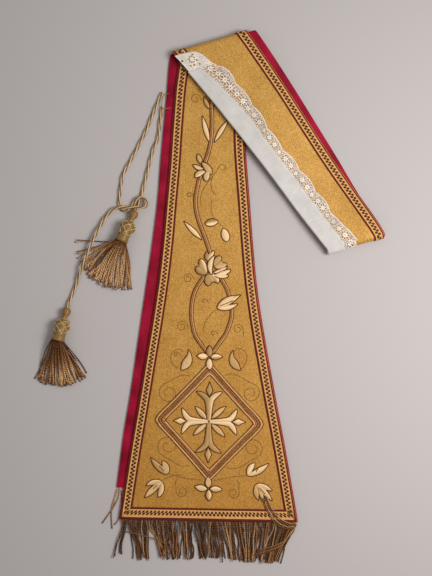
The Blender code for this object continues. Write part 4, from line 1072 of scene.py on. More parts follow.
SINGLE_LEAVES = (
    (-9.6, 378.4, -33.6, 402.8, 6.4, 0.3, 0.45, 0.9, 1.0, 1.0, 0.9),
    (1.1, 508.1, -8.7, 544.0, 6.4, 0.4, 0.5, 0.9, 1.0, 0.95, 1.0),
    (7.3, 508.6, 25.8, 538.7, 6.0, 0.6, 0.5, 0.9, 0.9, 1.0, 1.0),
    (-5.3, 399.2, 12.5, 402.7, 9.6, 0.2, 0.5, 0.6, 0.65, 0.3, 0.95),
    (19.0, 393.3, 24.2, 375.3, 10.4, 0.4, 0.55, 0.65, 0.55, 0.95, 0.9),
    (-2.8, 137.1, -18.5, 154.3, 7.0, 0.0, 0.45, 0.8, 0.9, 0.65, 0.7),
    (3.5, 137.7, 22.9, 154.3, 7.0, 0.4, 0.45, 0.8, 0.9, 0.7, 0.6),
    (-2.9, 131.0, -21.1, 115.2, 7.0, -0.4, 0.45, 0.8, 0.9, 0.65, 0.7),
    (3.0, 130.7, 21.5, 113.2, 7.0, 0.4, 0.45, 0.8, 0.9, 0.6, 0.7),
)
# Leaves that bow like a comma: foot, tip, how far they bow to the left, half the fullest width, and
# how light they are painted, mostly a painted reflection on the metal thread.
CURLED_LEAVES = (
    (-27.6, 230.4, -37.5, 202.9, 4.6, 5.6, 0.62),
    (32.7, 229.2, 42.2, 202.9, -5.4, 4.9, 0.5),
)
# The leaves of several lobes: the same columns, one tuple of lobes for each leaf.
LOBED_LEAVES = (
    (
        (-55.9, 63.0, -78.1, 85.6, 7.9, 1.4, 0.5, 0.6, 1.0, 0.45, 0.55),
        (-55.0, 63.6, -62.6, 81.2, 8.4, -1.2, 0.55, 0.6, 0.8, 0.75, 0.6),
    ),
    (
        (-63.6, 53.6, -84.5, 47.7, 6.7, -1.8, 0.5, 0.6, 0.95, 0.7, 0.8),
        (-63.3, 52.8, -86.4, 31.6, 8.1, -0.4, 0.55, 0.6, 0.95, 0.65, 0.75),
        (-63.2, 52.8, -68.6, 32.2, 7.2, 2.0, 0.55, 0.6, 0.8, 0.8, 0.7),
    ),
    (
        (52.1, 61.2, 80.4, 77.5, 7.7, -1.8, 0.5, 0.6, 1.0, 0.8, 0.75),
        (52.1, 61.4, 61.7, 78.3, 7.7, 1.6, 0.55, 0.6, 0.85, 0.85, 0.9),
    ),
    (
        (63.4, 49.6, 84.9, 40.7, 6.5, 1.2, 0.5, 0.6, 1.0, 0.8, 0.75),
        (63.4, 49.4, 84.9, 27.6, 7.2, 0.4, 0.5, 0.6, 1.0, 0.75, 0.7),
        (63.1, 49.1, 66.7, 28.4, 6.5, -1.6, 0.5, 0.6, 0.9, 0.55, 0.6),
        (66.6, 42.8, 74.0, 24.7, 4.4, 0.4, 0.55, 0.6, 0.9, 0.7, 0.6),
    ),
    (
        (1.1, 554.0, -6.4, 570.2, 5.8, 0.9, 0.5, 0.6, 1.0, 0.35, 0.5),
        (3.0, 554.0, 4.9, 566.9, 5.3, -0.6, 0.5, 0.6, 1.0, 0.5, 0.35),
    ),
)
# The leaf on the stem, which lies over it.
VEINED_LEAF = (
    (11.3, 286.6, 35.4, 302.7, 7.0, 1.6, 0.5, 0.6, 0.9, 0.8, 0.75),
    (11.6, 286.4, 42.6, 304.0, 7.7, 0.2, 0.5, 0.6, 1.1, 0.75, 0.8),
    (11.6, 285.8, 38.8, 292.0, 6.5, -2.0, 0.5, 0.6, 0.95, 0.85, 0.8),
)
# The two flowers: each petal of one or two lobes, the lower petals first.
BIG_FLOWER = (
    (
        (-1.8, 350.0, -2.1, 362.6, 5.4, 1.2, 0.4, 0.7, 0.9, 0.25, 0.3),
        (-1.8, 349.2, 7.4, 363.1, 7.2, 0.9, 0.45, 0.7, 0.85, 0.6, 1.0),
    ),
    (
        (-2.6, 333.1, -11.2, 352.4, 9.0, 0.6, 0.62, 0.7, 0.55, 0.45, 0.8),
        (-2.9, 332.3, -17.5, 341.4, 9.4, 1.2, 0.6, 0.7, 0.6, 0.3, 0.35),
        (-2.6, 332.8, -12.8, 344.9, 9.0, 0.4, 0.6, 0.7, 0.5, 0.35, 0.45),
    ),
    (
        (-1.2, 332.1, 0.9, 316.4, 9.0, -1.4, 0.62, 0.7, 0.55, 0.3, 0.4),
        (0.3, 332.3, 12.4, 319.9, 9.2, 1.8, 0.6, 0.7, 0.7, 0.8, 0.45),
        (-0.5, 331.7, 5.4, 321.0, 9.0, 0.4, 0.6, 0.7, 0.5, 0.5, 0.5),
    ),
    (
        (7.0, 341.7, 16.7, 355.3, 8.4, 1.4, 0.62, 0.7, 0.55, 0.55, 0.45),
        (7.6, 340.6, 24.2, 345.7, 7.6, -1.0, 0.62, 0.7, 0.6, 0.6, 0.6),
        (7.0, 341.1, 18.3, 348.9, 9.0, 0.2, 0.6, 0.7, 0.5, 0.3, 0.5),
    ),
    (
        (5.7, 333.9, 24.7, 342.5, 5.4, -1.8, 0.5, 0.7, 0.8, 0.9, 0.8),
    ),
    (
        (7.0, 330.6, 29.3, 337.6, 6.2, -1.2, 0.6, 0.8, 0.75, 1.0, 0.95),
        (7.8, 329.6, 26.4, 329.8, 5.4, -1.0, 0.6, 0.8, 0.7, 0.95, 0.8),
    ),
    (
        (4.1, 330.9, 8.0, 356.7, 6.8, 4.4, 0.5, 0.7, 0.85, 1.0, 0.95),
    ),
)
SMALL_FLOWER = (
    (
        (-9.1, 478.8, -15.1, 493.3, 6.0, 0.5, 0.55, 0.8, 0.8, 0.6, 0.6),
    ),
    (
        (-7.2, 472.9, -21.4, 478.8, 5.8, 1.0, 0.5, 0.8, 0.85, 0.8, 0.65),
    ),
    (
        (-3.7, 468.9, -18.5, 461.4, 7.6, -2.4, 0.6, 0.7, 0.75, 0.85, 0.7),
    ),
    (
        (-10.1, 481.8, 3.3, 465.4, 8.6, 1.4, 0.58, 0.8, 0.75, 0.55, 0.65),
        (-0.5, 470.2, -3.4, 456.3, 8.4, -1.2, 0.55, 0.7, 0.6, 0.75, 0.7),
    ),
)
# The cross: how far along an arm and to its side, and half the width there; then for each arm its
# way, how long it is against that, and how light each of its halves and its end leaf are painted,
# mostly a painted reflection and painted shade on the metal thread.
CROSS_SPOT = Vector((-0.1, 134.0))
CROSS_TURN = -1.2
HALF_ARM = (
    (1.0, 1.1, 1.5),
    (16.0, 1.9, 2.3),
    (27.0, 3.0, 3.5),
    (32.0, 7.3, 3.5),
    (35.0, 12.3, 2.4),
    (37.4, 17.6, 0.15),
)
ARM_LEAF = (31.0, 49.5, 9.2)
ARMS = (
    (0, 1.0, 0.85, 0.95, 0.85),
    (90, 1.07, 0.3, 0.75, 0.4),
    (180, 0.97, 1.0, 1.0, 1.0),
    (270, 1.12, 0.5, 0.35, 0.6),
)
LOZENGE_SPOT = Vector((0.8, 133.4))
LOZENGE_HALF = (76.4, 81.8)
LOZENGE_LEAN = 0.045  # how much lower its right corner is than its left, for its width
LOZENGE_BLUNT = (7.5, 3.4)  # how far from its side corners, and its other two, it is rounded off
# Each laid cord of the lozenge: how far in from its outer edge, its radius and its colour.
LOZENGE_CORDS = (
    (0.6, 0.55, "dark"),
    (2.5, 1.25, "peach"),
    (4.4, 0.5, "dark"),
    (5.8, 0.95, "brown"),
    (7.3, 0.45, "dark"),
    (8.7, 0.95, "brown"),
    (10.8, 1.25, "peach"),
    (12.7, 0.55, "dark"),
)
STEM_CORDS = ((-2.7, 0.55, "dark"), (-1.1, 1.05, "peach"), (1.1, 1.05, "brown"), (2.7, 0.55, "dark"))
STEMS = (
    ((-2.5, 227.0), (-11.0, 238.0), (-20.0, 254.0), (-23.6, 281.0), (-19.2, 308.0), (-7.0, 328.0)),
    ((5.0, 227.0), (14.5, 240.0), (24.7, 256.0), (30.8, 280.0), (26.0, 307.0), (17.0, 325.0)),
    ((1.5, 361.0), (-6.2, 383.4), (-14.9, 407.3), (-18.2, 430.0), (-13.6, 457.0), (-10.0, 466.0)),
    ((-5.0, 482.0), (1.5, 505.0), (4.0, 530.0), (3.6, 553.0), (3.0, 571.0)),
)
# Short cuts sewn into the leaves in dark thread: from, to, and how high each lies.
SLITS = (
    (-69.5, 48.3, -75.1, 43.6, 1.2),
    (67.7, 45.3, 75.1, 37.4, 1.2),
    (15.2, 289.0, 32.8, 296.4, 2.1),
    (63.8, 66.7, 65.7, 71.8, 1.2),
    (-60.4, 68.0, -66.4, 74.6, 1.2),
)
# Stitched scrolls: the foot, the heart each winds round, how far out it starts, and its turns, which
# are below nought where it winds clockwise. Tendrils: from, to, and how far each bows to its left.
SCROLLS = (
    (-27, 75, -55, 101, 15.0, -1.4),
    (24, 72, 59, 98, 14.0, 1.4),
    (-42, 58, -36, 40, 8.0, 1.3),
    (37, 55, 33, 38, 8.0, -1.3),
    (-26, 195, -54, 172, 14.0, 1.4),
    (22, 196, 56, 172, 13.0, -1.4),
    (-42, 206, -38, 223, 16.0, -0.5),
    (-38, 221, -44, 224, 3.8, 1.1),
    (43, 205, 37, 223, 16.0, 0.5),
    (-20, 325, -28, 326, 6.5, 1.4),
    (-28, 259, -36, 262, 7.5, 1.4),
    (-1, 293, -6, 295, 4.2, 0.8),
    (12, 250, 6, 252, 4.2, 0.9),
    (45, 247, 39, 258, 7.0, 1.3),
    (-10, 565, -18, 567, 7.0, 1.2),
    (-21, 437, -26, 438, 4.0, 1.1),
    (-10, 423, 19, 474, 6.0, -0.7),
)
TENDRILS = (
    (-9, 55, -54, 64, 1.5),
    (-62, 55, -37, 62, 2.0),
    (6, 54, 51, 61, 1.5),
    (10, 284, -8, 257, -3.5),
    (5, 462, 9, 438, -4.0),
    (4, 431, 19, 396, -7.0),
)
INWARD_WOUND = 0.68  # how much of its radius a scroll loses as it winds in
TURN_STEPS = 14


def threads(tree, way, scale, distortion):
    """Threads laid side by side along (X) or across (Y) a piece, none quite straight."""
    feeds = {"Vector": unrolled_place(tree), "Scale": scale, "Distortion": distortion}
    return added(tree, "TexWave", "Fac", feeds, wave_type="BANDS", bands_direction=way)


def satin_stitch():
    """Metal thread laid side by side across each shape; an attribute on each shape sets how light it is,
    mostly a painted reflection and painted shade.
    """
    made, tree = new_finish("satin_stitch", 0.42, 0.3, 0.15)
    painted_sheen = added(tree, "Attribute", "Fac", {}, attribute_name="painted_sheen")
    level = maths(tree, "MULTIPLY_ADD", uneven(tree, laid_place(tree), 1300.0), 0.3, painted_sheen)
    gilt = ((0.2, (0.30, 0.165, 0.05)), (0.7, (0.64, 0.375, 0.14)), (1.0, (0.93, 0.63, 0.33)))
    finished(tree, shades(tree, level, *gilt), threads(tree, "X", 0.6, 0.6), 0.4, 0.0002)
    return made


def bent_line(foot, tip, bend, count=LEAF_ROWS):
    """A line from foot to tip that bows out to its left by bend."""
    side = Vector((foot.y - tip.y, tip.x - foot.x)).normalized()
    shares = [k / count for k in range(count + 1)]
    return [foot.lerp(tip, t) + side * bend * 4 * t * (1 - t) for t in shares]


def leaf_halves(width, belly, foot_sharp, tip_sharp):
    """Half the width at each place along a leaf, foot to tip."""
    halves = []
    for t in (k / LEAF_ROWS for k in range(LEAF_ROWS + 1)):
        if t < belly:
            halves.append(width / 2 * math.sin(math.pi / 2 * t / belly) ** foot_sharp)
        else:
            left_over = math.cos(math.pi / 2 * (t - belly) / (1 - belly))
            halves.append(width / 2 * max(left_over, 0.0) ** tip_sharp)
    return [max(h, 0.12) for h in halves]


def kite_halves(width, belly):
    """The same for a kite, its four sides a little hollow."""
    shares = [k / LEAF_ROWS for k in range(LEAF_ROWS + 1)]
    rises = [(t / belly) ** 1.15 if t < belly else ((1 - t) / (1 - belly)) ** 1.2 for t in shares]
    return [max(width / 2 * rise, 0.12) for rise in rises]


def on_front(x, y, up):
    """A point that far above the front's face."""
    return rippled(x, y, PILE + up)


def left_of(line, i):
    """One step to the left of a run of points, at one of them."""
    ahead = ahead_at(line, i)
    return Vector((-ahead.y, ahead.x)).normalized()


def couched(spots, up, thick, sides, pitch, flat=1.0):
    """A cord laid along spots and sewn down, its middle that far above the front's face."""
    line = [in_metres(on_front(p.x, p.y, up)) for p in spots]
    return strand(line, thick, sides=sides, pitch=pitch, flat=flat)


def laid(spots, up, radius, sides):
    """A laid cord of that radius in millimetres, its twist the longer the thicker it is."""
    return couched(spots, up, radius / 500, sides, 0.0024 + radius * 0.0014)


def satin_pad(middle, halves, left_painted_sheen, right_painted_sheen, lift):
    """One padded shape, domed along its middle line, and the run of points round its edge."""
    rows, unrolled, painted_sheens, run = [], [], [], 0.0
    edges = [[], []]
    tall = min(SATIN_RAISE, PAD_LOW + PAD_SLOPE * max(halves))
    for i, spot in enumerate(middle):
        side = left_of(middle, i)
        if i:
            run += (spot - middle[i - 1]).length
        row, marks, painted_sheen_here = [], [], []
        taper = min(1.0, halves[i] / 2.0) ** 0.7
        for k in range(9):
            angle = math.pi * (k / 8 - 0.5)
            out = math.sin(angle)
            p = spot - side * out * halves[i]
            high = tall * taper * max(math.cos(angle), 0.0) ** 0.7 + lift
            row.append(on_front(p.x, p.y, high - PAD_SUNK))
            marks.append((run, out * halves[i]))
            # Painted reflection and shade: one side of a shape may be painted lighter than the other, as the
            # metal thread catches the light.
            painted_sheen_here.append(left_painted_sheen + (right_painted_sheen - left_painted_sheen) * eased(out * 1.6 + 0.5))
        rows.append(row)
        unrolled.append(marks)
        painted_sheens += painted_sheen_here
        edges[0].append(spot + side * (halves[i] + EDGE_OUT))
        edges[1].append(spot - side * (halves[i] + EDGE_OUT))
    piece = spread("pad", rows, unrolled, satin)
    tone = piece.data.attributes.new("painted_sheen", "FLOAT", "POINT")
    tone.data.foreach_set("value", painted_sheens)
    return piece, edges[0] + edges[1][::-1]


def inside(spot, ring):
    """True where a point is inside a closed run of points."""
    found = False
    for a, b in zip(ring, ring[1:] + ring[:1]):
        if (a.y > spot.y) != (b.y > spot.y):
            if spot.x < (b.x - a.x) * (spot.y - a.y) / (b.y - a.y) + a.x:
                found = not found
    return found


def edging(rings, lift):
    """Cords round shapes sewn as one: each runs only where it is outside the other shapes."""
    made = []
    for i, ring in enumerate(rings):
        others = [other for k, other in enumerate(rings) if k != i]
        spots, _ = walked(ring + ring[:1], 0.9)
        keep = [not any(inside(p, other) for other in others) for p in spots]
        runs, run = [], []
        for p, kept in zip(spots + [None], keep + [False]):
            if kept:
                run.append(p)
                continue
            if len(run) > 3:
                runs.append(run)
            run = []
        made += [couched(run, EDGE_UP + lift, EDGE_CORD / 1000, 6, 0.0026) for run in runs]
    return made


def bowed_leaf(x0, y0, x1, y1, bow, fullest):
    """A leaf's middle line and half widths: it bows most near its foot and is fullest past halfway."""
    way = Vector((x1 - x0, y1 - y0))
    left = Vector((-way.y, way.x)).normalized()
    spots = []
    for t in (k / 8 for k in range(9)):
        spot = Vector((x0, y0)) + way * t + left * bow * math.sin(math.pi * t ** 0.8)
        spots.append((spot.x, spot.y, 0.2 + fullest * max(0.0, math.sin(math.pi * t ** 1.35))))
    return spots


def scroll(foot_x, foot_y, x, y, radius, turns):
    """A stitched line that leaves its foot, meets a round about its heart and winds in on it."""
    foot, heart = Vector((foot_x, foot_y)), Vector((x, y))
    side, away = math.copysign(1, turns), foot - heart
    first = math.atan2(away.y, away.x) + side * math.acos(min(radius / away.length, 1.0))
    reach = heart + radius * Vector((math.cos(first), math.sin(first))) - foot
    outward = Vector((reach.y, -reach.x)) * side
    spots = [foot + reach * t + outward * 0.8 * t * (1 - t) ** 2 for t in (k / 6 for k in range(6))]
    steps = max(8, round(abs(turns) * TURN_STEPS))
    for k in range(steps + 1):
        angle, near = first + 2 * math.pi * turns * k / steps, 1 - INWARD_WOUND * k / steps
        spots.append(heart + radius * near * Vector((math.cos(angle), math.sin(angle))))
    return spots


def joined(name, pieces):
    """Several pieces joined into one."""
    bpy.ops.object.select_all(action="DESELECT")
    for piece in pieces:
        piece.select_set(True)
    bpy.context.view_layer.objects.active = pieces[0]
    bpy.ops.object.join()
    pieces[0].name = pieces[0].data.name = name
    return pieces[0]


satin = satin_stitch()
laid_cord = {
    "dark": twisted_thread("dark_laid_cord", (0.21, 0.062, 0.010), (0.07, 0.017, 0.003), 2, 0.9, 0.0, 0.06),
    "peach": twisted_thread("peach_laid_cord", (1.0, 0.60, 0.31), (0.60, 0.27, 0.10), 2, 0.6, 0.0, 0.06),
    "brown": twisted_thread("brown_laid_cord", (0.72, 0.32, 0.12), (0.30, 0.095, 0.028), 2, 0.6, 0.0, 0.06),
    "scroll": twisted_thread("scroll_thread", (0.42, 0.23, 0.055), (0.20, 0.10, 0.022), 2, 0.6, 0.1, 0.06),
}
goldwork, cords = [], {"dark": [], "peach": [], "brown": [], "scroll": []}
# Each group's name, its shapes, how high its first shape lies and how much higher each next one.
groups = (
    ("quatrefoils", [[row] for row in QUATREFOILS], 0.9, 0.0),
    ("single_leaves", [[row] for row in SINGLE_LEAVES], 0.0, 0.0),
    ("lobed_leaves", LOBED_LEAVES, 0.0, 0.0),
    ("veined_leaf", [VEINED_LEAF], 1.0, 0.0),
    ("big_flower", BIG_FLOWER, 0.5, 0.2),
    ("small_flower", SMALL_FLOWER, 0.5, 0.2),
)
for name, shapes, first_lift, next_lift in groups:
    pads = []
    for n, lobes in enumerate(shapes):
        rings = []
        lift = first_lift + next_lift * n
        for x0, y0, x1, y1, width, bend, belly, foot_sharp, tip_sharp, left_painted_sheen, right_painted_sheen in lobes:
            middle = bent_line(Vector((x0, y0)), Vector((x1, y1)), bend)
            halves = leaf_halves(width, belly, foot_sharp, tip_sharp)
            pad, ring = satin_pad(middle, halves, left_painted_sheen, right_painted_sheen, lift)
            pads.append(pad)
            rings.append(ring)
        cords["dark"] += edging(rings, lift)
    goldwork.append(joined("goldwork_" + name, pads))

pads = []
for *leaf, painted_sheen in CURLED_LEAVES:
    spots = bowed_leaf(*leaf)
    middle, runs = walked([p.to_2d() for p in smooth_line([(x, y, 0.0) for x, y, _ in spots], 1.0)], 1.5)
    marks = [(runs[-1] * k / (len(spots) - 1), half) for k, (_, _, half) in enumerate(spots)]
    halves = [max(read(marks, run), 0.15) for run in runs]
    pad, ring = satin_pad(middle, halves, painted_sheen, painted_sheen + 0.08, 0.0)
    pads.append(pad)
    cords["dark"] += edging([ring], 0.0)
goldwork.append(joined("goldwork_curled_leaves", pads))

pads = []
for way, long, left_painted_sheen, right_painted_sheen, leaf_painted_sheen in ARMS:
    turn = Matrix.Rotation(math.radians(way + CROSS_TURN), 2)
    rings = []
    for side, painted_sheen in ((1, left_painted_sheen), (-1, right_painted_sheen)):
        spots = [CROSS_SPOT + turn @ Vector((a * long, b * side)) for a, b, _ in HALF_ARM]
        middle, runs = walked([p.to_2d() for p in smooth_line([p.to_3d() for p in spots], 1.0)], 1.6)
        lengths = runs_along(spots)
        marks = [(x * runs[-1] / lengths[-1], HALF_ARM[k][2]) for k, x in enumerate(lengths)]
        halves = [max(read(marks, run), 0.15) for run in runs]
        pad, ring = satin_pad(middle, halves, painted_sheen, painted_sheen, 0.0)
        pads.append(pad)
        rings.append(ring)
    a, b, width = ARM_LEAF
    ends = [CROSS_SPOT + turn @ Vector((reach * long, 0.0)) for reach in (a, b)]
    middle = bent_line(*ends, 0.0)
    pad, ring = satin_pad(middle, kite_halves(width, 0.45), leaf_painted_sheen, leaf_painted_sheen * 0.9, 0.1)
    pads.append(pad)
    cords["dark"] += edging(rings, 0.0) + edging([ring], 0.1)
goldwork.append(joined("goldwork_cross", pads))

wide, tall = LOZENGE_HALF
depth = wide * tall / math.hypot(wide, tall)
for inward, radius, colour in LOZENGE_CORDS:
    scale = 1 - inward / depth
    ends = ((wide, -LOZENGE_LEAN * wide), (0.0, tall), (-wide, LOZENGE_LEAN * wide), (-1.0, -tall))
    corners = [LOZENGE_SPOT + Vector(end) * scale for end in ends]
    route = []
    for k in range(5):
        a, b, c = corners[k % 4 - 1], corners[k % 4], corners[(k + 1) % 4]
        blunt = LOZENGE_BLUNT[k % 2] * (1 - inward / 22)
        route += [b + (a - b).normalized() * blunt, b + (c - b).normalized() * blunt]
        route += [b.lerp(c, 0.35), b.lerp(c, 0.65)]
    route = smooth_line([p.to_3d() for p in route[:-2]], 1.6 if radius < 1 else 1.1)
    sides = 5 if radius < 1 else 8
    cords[colour].append(laid(route, radius * 0.55, radius, sides))
for route in STEMS:
    middle = [p.to_2d() for p in smooth_line([(x, y, 0.0) for x, y in route], 1.4)]
    for across, radius, colour in STEM_CORDS:
        line = [spot + left_of(middle, i) * across for i, spot in enumerate(middle)]
        cords[colour].append(laid(line, 0.1 + radius * 0.45, radius, 6))
for x0, y0, x1, y1, up in SLITS:
    line = [Vector((x0 + (x1 - x0) * t / 8, y0 + (y1 - y0) * t / 8)) for t in range(9)]
    cords["dark"].append(couched(line, up, 0.0013, 5, 0.0026))
routes = [scroll(*row) for row in SCROLLS]
routes += [bent_line(Vector((x0, y0)), Vector((x1, y1)), bow, 6) for x0, y0, x1, y1, bow in TENDRILS]
for route in routes:
    middle = smooth_line([p.to_3d() for p in route], 1.0)
    cords["scroll"].append(couched(middle, 0.12, 0.0012, 5, 0.0028, flat=0.6))
for colour, strands in cords.items():
    goldwork.append(wound("goldwork_cords_" + colour, strands, laid_cord[colour]))
for piece in goldwork:
    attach(piece, "root")


# ------------------------------------------------------------------ collar and lace
# A band of white linen over the neck's inner edge, hemmed and a little creased, with a scalloped
# cotton lace sewn along its inner side and across its short top end.
COLLAR_START = 24.5
COLLAR_LIP = 2.9
LINEN_HIGH = 1.25
HEM, HEM_RAISE = 3.4, 0.3
# How high its hem's two edges are, and its other side as it goes down past the neck's edge.
HEM_HEIGHTS = (0.75, 1.2)
LIP_HEIGHTS = (0.9, 0.0, -2.3)
# How far past the fold, and how far in from the neck's edge the linen and then the lace reach.
LINEN_EDGE = (
    (24, 11.5), (31, 11.9), (55, 15.6), (78, 17.8), (102, 20.1), (124, 20.6), (157, 18.6),
    (206, 18.7), (250, 19.4), (299, 19.0), (327, 19.2), (350, 17.5),
)
LACE_OUTER = (
    (0, 3.0), (4, 8.0), (7, 15.6), (10.5, 19.2), (15.7, 22.6), (22.4, 26.4), (30, 27.5),
    (37, 29.5), (46, 36.5), (58, 38.9), (73, 38.9), (90, 38.0), (105, 37.9), (130, 35.5), (157, 33.0),
    (206, 35.0), (250, 35.3), (287, 33.4), (298, 34.8), (304, 35.6), (350, 35.6),
)
# Creases across the linen: how far past the fold, how broad, how deep, and how much they slant.
LINEN_CREASES = (
    (44.0, 5.0, 0.22, 0.5),
    (97.0, 3.6, 0.25, -0.3),
    (151.0, 4.4, 0.30, 0.4),
    (203.0, 2.2, 0.42, -0.2),
    (226.0, 1.8, 0.50, 0.3),
    (241.0, 2.6, 0.36, 0.1),
    (262.0, 1.7, 0.52, -0.35),
    (288.0, 2.4, 0.40, 0.2),
    (303.0, 1.8, 0.46, -0.1),
)
LACE_CELL = 0.64
SCALLOP_LENGTH = 32.8
SCALLOP_DEPTH = 3.4
SCALLOP_FROM, SCALLOP_TO = 40.6, 286.6
FLOWER_FROM, FLOWER_STEP = 50.0, 11.0
FLOWER_UP = 0.47  # where its middle is, as a share of the lace's width
FLOWER_EYE, FLOWER_HEART, FLOWER_RING = 0.5, 2.6, 1.7
# How wide the lace is where a flower has its own size, and how much larger one may be; and what
# the corner's flower is measured against.
FLOWER_FITS, FLOWER_MOST = 14.5, 1.25
CORNER_FITS = 3.4
# The flower worked in the lace's corner, and the small openings round it: past the fold, in from
# the edge, radius.
CORNER_FLOWER = (16.1, 11.2, 3.5)
CORNER_OPENINGS = (
    (9.4, 0.3, 1.2),
    (20.6, 4.6, 1.0),
    (22.4, 9.0, 1.1),
    (20.8, 15.6, 1.0),
    (13.0, 16.2, 0.9),
    (26.4, 15.2, 1.0),
)
NET_PITCH = 2.4
NET_CLOSED, CORNER_CLOSED = 0.52, 0.88  # how thick the net's threads are, beside the linen and past it
LACE_FOOT, LACE_RIM, LACE_TOP = 0.9, 1.3, 1.6  # its close-worked borders
CLOSE_WORK = 0.3  # how high they stand
PICOT = 0.35
LACE_START = 8.5  # how much of the long lace is worked close where it starts


def past_fold(flat):
    """How far past the top fold a point of the flat cut lies."""
    return (flat - FOLD_SPOT).dot(FOLD_OUT) - FOLD_TAKES


def plain_weave(name, light, shade, thread_scale):
    """Cotton or linen: threads over and under, and a little unevenness of tone."""
    made, tree = new_finish(name, 0.85, 0.15)
    crossed = maths(tree, "MULTIPLY", *(threads(tree, way, thread_scale, 1.5) for way in "XY"))
    level = maths(tree, "MULTIPLY_ADD", crossed, 0.25, uneven(tree, unrolled_place(tree), 55.0, 5.0))
    finished(tree, shades(tree, level, (0.38, shade), (0.72, light)), level, 0.25, 0.0003)
    return made


def neck_marks(start, step):
    """The under half's two edges along the neck, to past its fold, and how far past the top fold."""
    count = round((neck_row()[0] - fold_row(FOLD_TAKES + start)[0]) / step)
    pairs = edge_pairs("under", neck_rows(count, start))
    pairs += past_neck_pairs(NECK_TRIM_TURN, round(NECK_TAKES * NECK_TRIM_TURN / 180 / step))
    left, right = (list(side) for side in zip(*pairs))
    return left, right, [past_fold(edge) for edge in left]


def across_neck(marks, i, first, last, count):
    """One row from one line to another: each point, how far along and how far in it is."""
    left, right, pasts = marks
    ahead = ahead_at(left, i).normalized()

    def spot(inward):
        return left[i].lerp(right[i], share_in(left, right, i, inward))

    def along(inward):
        return pasts[i] + (spot(inward) - left[i]).dot(ahead)

    ends = []
    for line in (first, last):
        inward = line(pasts[i])
        for _ in range(4):
            inward = line(along(inward))
        ends.append(inward)
    steps = [ends[0] + (ends[1] - ends[0]) * k / count for k in range(count + 1)]
    return [(spot(inward), along(inward), inward) for inward in steps]


def linen_edge(along):
    """Where the linen's inner side is, in from the neck's edge."""
    return read(LINEN_EDGE, along)


def linen_height(along, inward):
    """How high the linen stands: its hem is doubled, and it is creased across."""
    high = LINEN_HIGH + 0.25 * noise.noise(Vector((along / 30, inward / 14, 4.2)))
    if linen_edge(along) - inward < HEM:
        high += HEM_RAISE
    for at, broad, deep, slant in LINEN_CREASES:
        high -= deep * math.exp(-(((along + slant * inward - at) / broad) ** 2))
    return high


linen = plain_weave("white_linen", (0.72, 0.67, 0.63), (0.62, 0.575, 0.54), 900.0)
cotton = plain_weave("ecru_cotton", (0.95, 0.86, 0.76), (0.74, 0.65, 0.55), 700.0)

marks = neck_marks(COLLAR_START, 1.1)
rows, unrolled = [], []
for i in range(len(marks[0])):
    across = across_neck(marks, i, lambda along: -COLLAR_LIP, linen_edge, 21)
    line = [(across[-1], high) for high in HEM_HEIGHTS]
    line += [(place, linen_height(place[1], place[2])) for place in across[:0:-1]]
    line += [(across[0], high) for high in LIP_HEIGHTS]
    rows.append([lie(p.x, p.y, -high) for (p, _, _), high in line[::-1]])
    unrolled.append([(along / 1000, inward / 1000) for (_, along, inward), _ in line[::-1]])
collar = spread("collar_linen", rows, unrolled, linen, thick=0.6)
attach(collar, "root")
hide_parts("collar")


def lace_edge(along):
    """The lace's outer edge, scalloped and picoted."""
    edge = read(LACE_OUTER, along) + PICOT * abs(math.sin(math.pi * along / NET_PITCH))
    if SCALLOP_FROM < along < SCALLOP_TO:
        edge -= SCALLOP_DEPTH * (1 - abs(math.sin(math.pi * (along - SCALLOP_FROM) / SCALLOP_LENGTH)))
    return edge


def netted(along, inward, closed):
    """The lace's ground: threads that cross aslant, with an opening between every four."""
    one = math.sin(math.pi * (along + inward) / NET_PITCH)
    other = math.sin(math.pi * (along - inward) / NET_PITCH)
    return None if abs(one * other) > closed else 0.0


def flower(aside, up, size, ground):
    """A worked flower: how high its threads stand, None in its openings, and the ground beyond it."""
    reach, turn = math.hypot(aside, up) / size, math.atan2(up, aside)
    if reach < FLOWER_EYE:
        return None
    if reach < FLOWER_HEART:
        return 0.25 + 0.15 * math.cos(6 * turn)
    if reach < FLOWER_HEART + FLOWER_RING:
        return None if math.cos(8 * turn) > 0.0 else 0.1
    return ground


def edging_lace(along, inward):
    """The long lace beside the linen: how high its threads stand, or None where it is open."""
    foot, rim = linen_edge(along), lace_edge(along)
    if inward - foot < LACE_FOOT or rim - inward < LACE_RIM or along < COLLAR_START + LACE_START:
        return CLOSE_WORK
    size = min((rim - foot) / FLOWER_FITS, FLOWER_MOST)
    aside = (along - FLOWER_FROM + FLOWER_STEP / 2) % FLOWER_STEP - FLOWER_STEP / 2
    up = inward - foot - FLOWER_UP * (rim - foot)
    return flower(aside, up, size, netted(along, inward, NET_CLOSED))


def corner_lace(along, inward):
    """The lace across the linen's top end, turned at the corner round one large flower."""
    if inward < -COLLAR_LIP + LACE_TOP or lace_edge(along) - inward < LACE_RIM:
        return CLOSE_WORK
    for x, y, radius in CORNER_OPENINGS:
        if math.hypot(along - x, inward - y) < radius:
            return None
    x, y, radius = CORNER_FLOWER
    return flower(along - x, inward - y, radius / CORNER_FITS, netted(along, inward, CORNER_CLOSED))


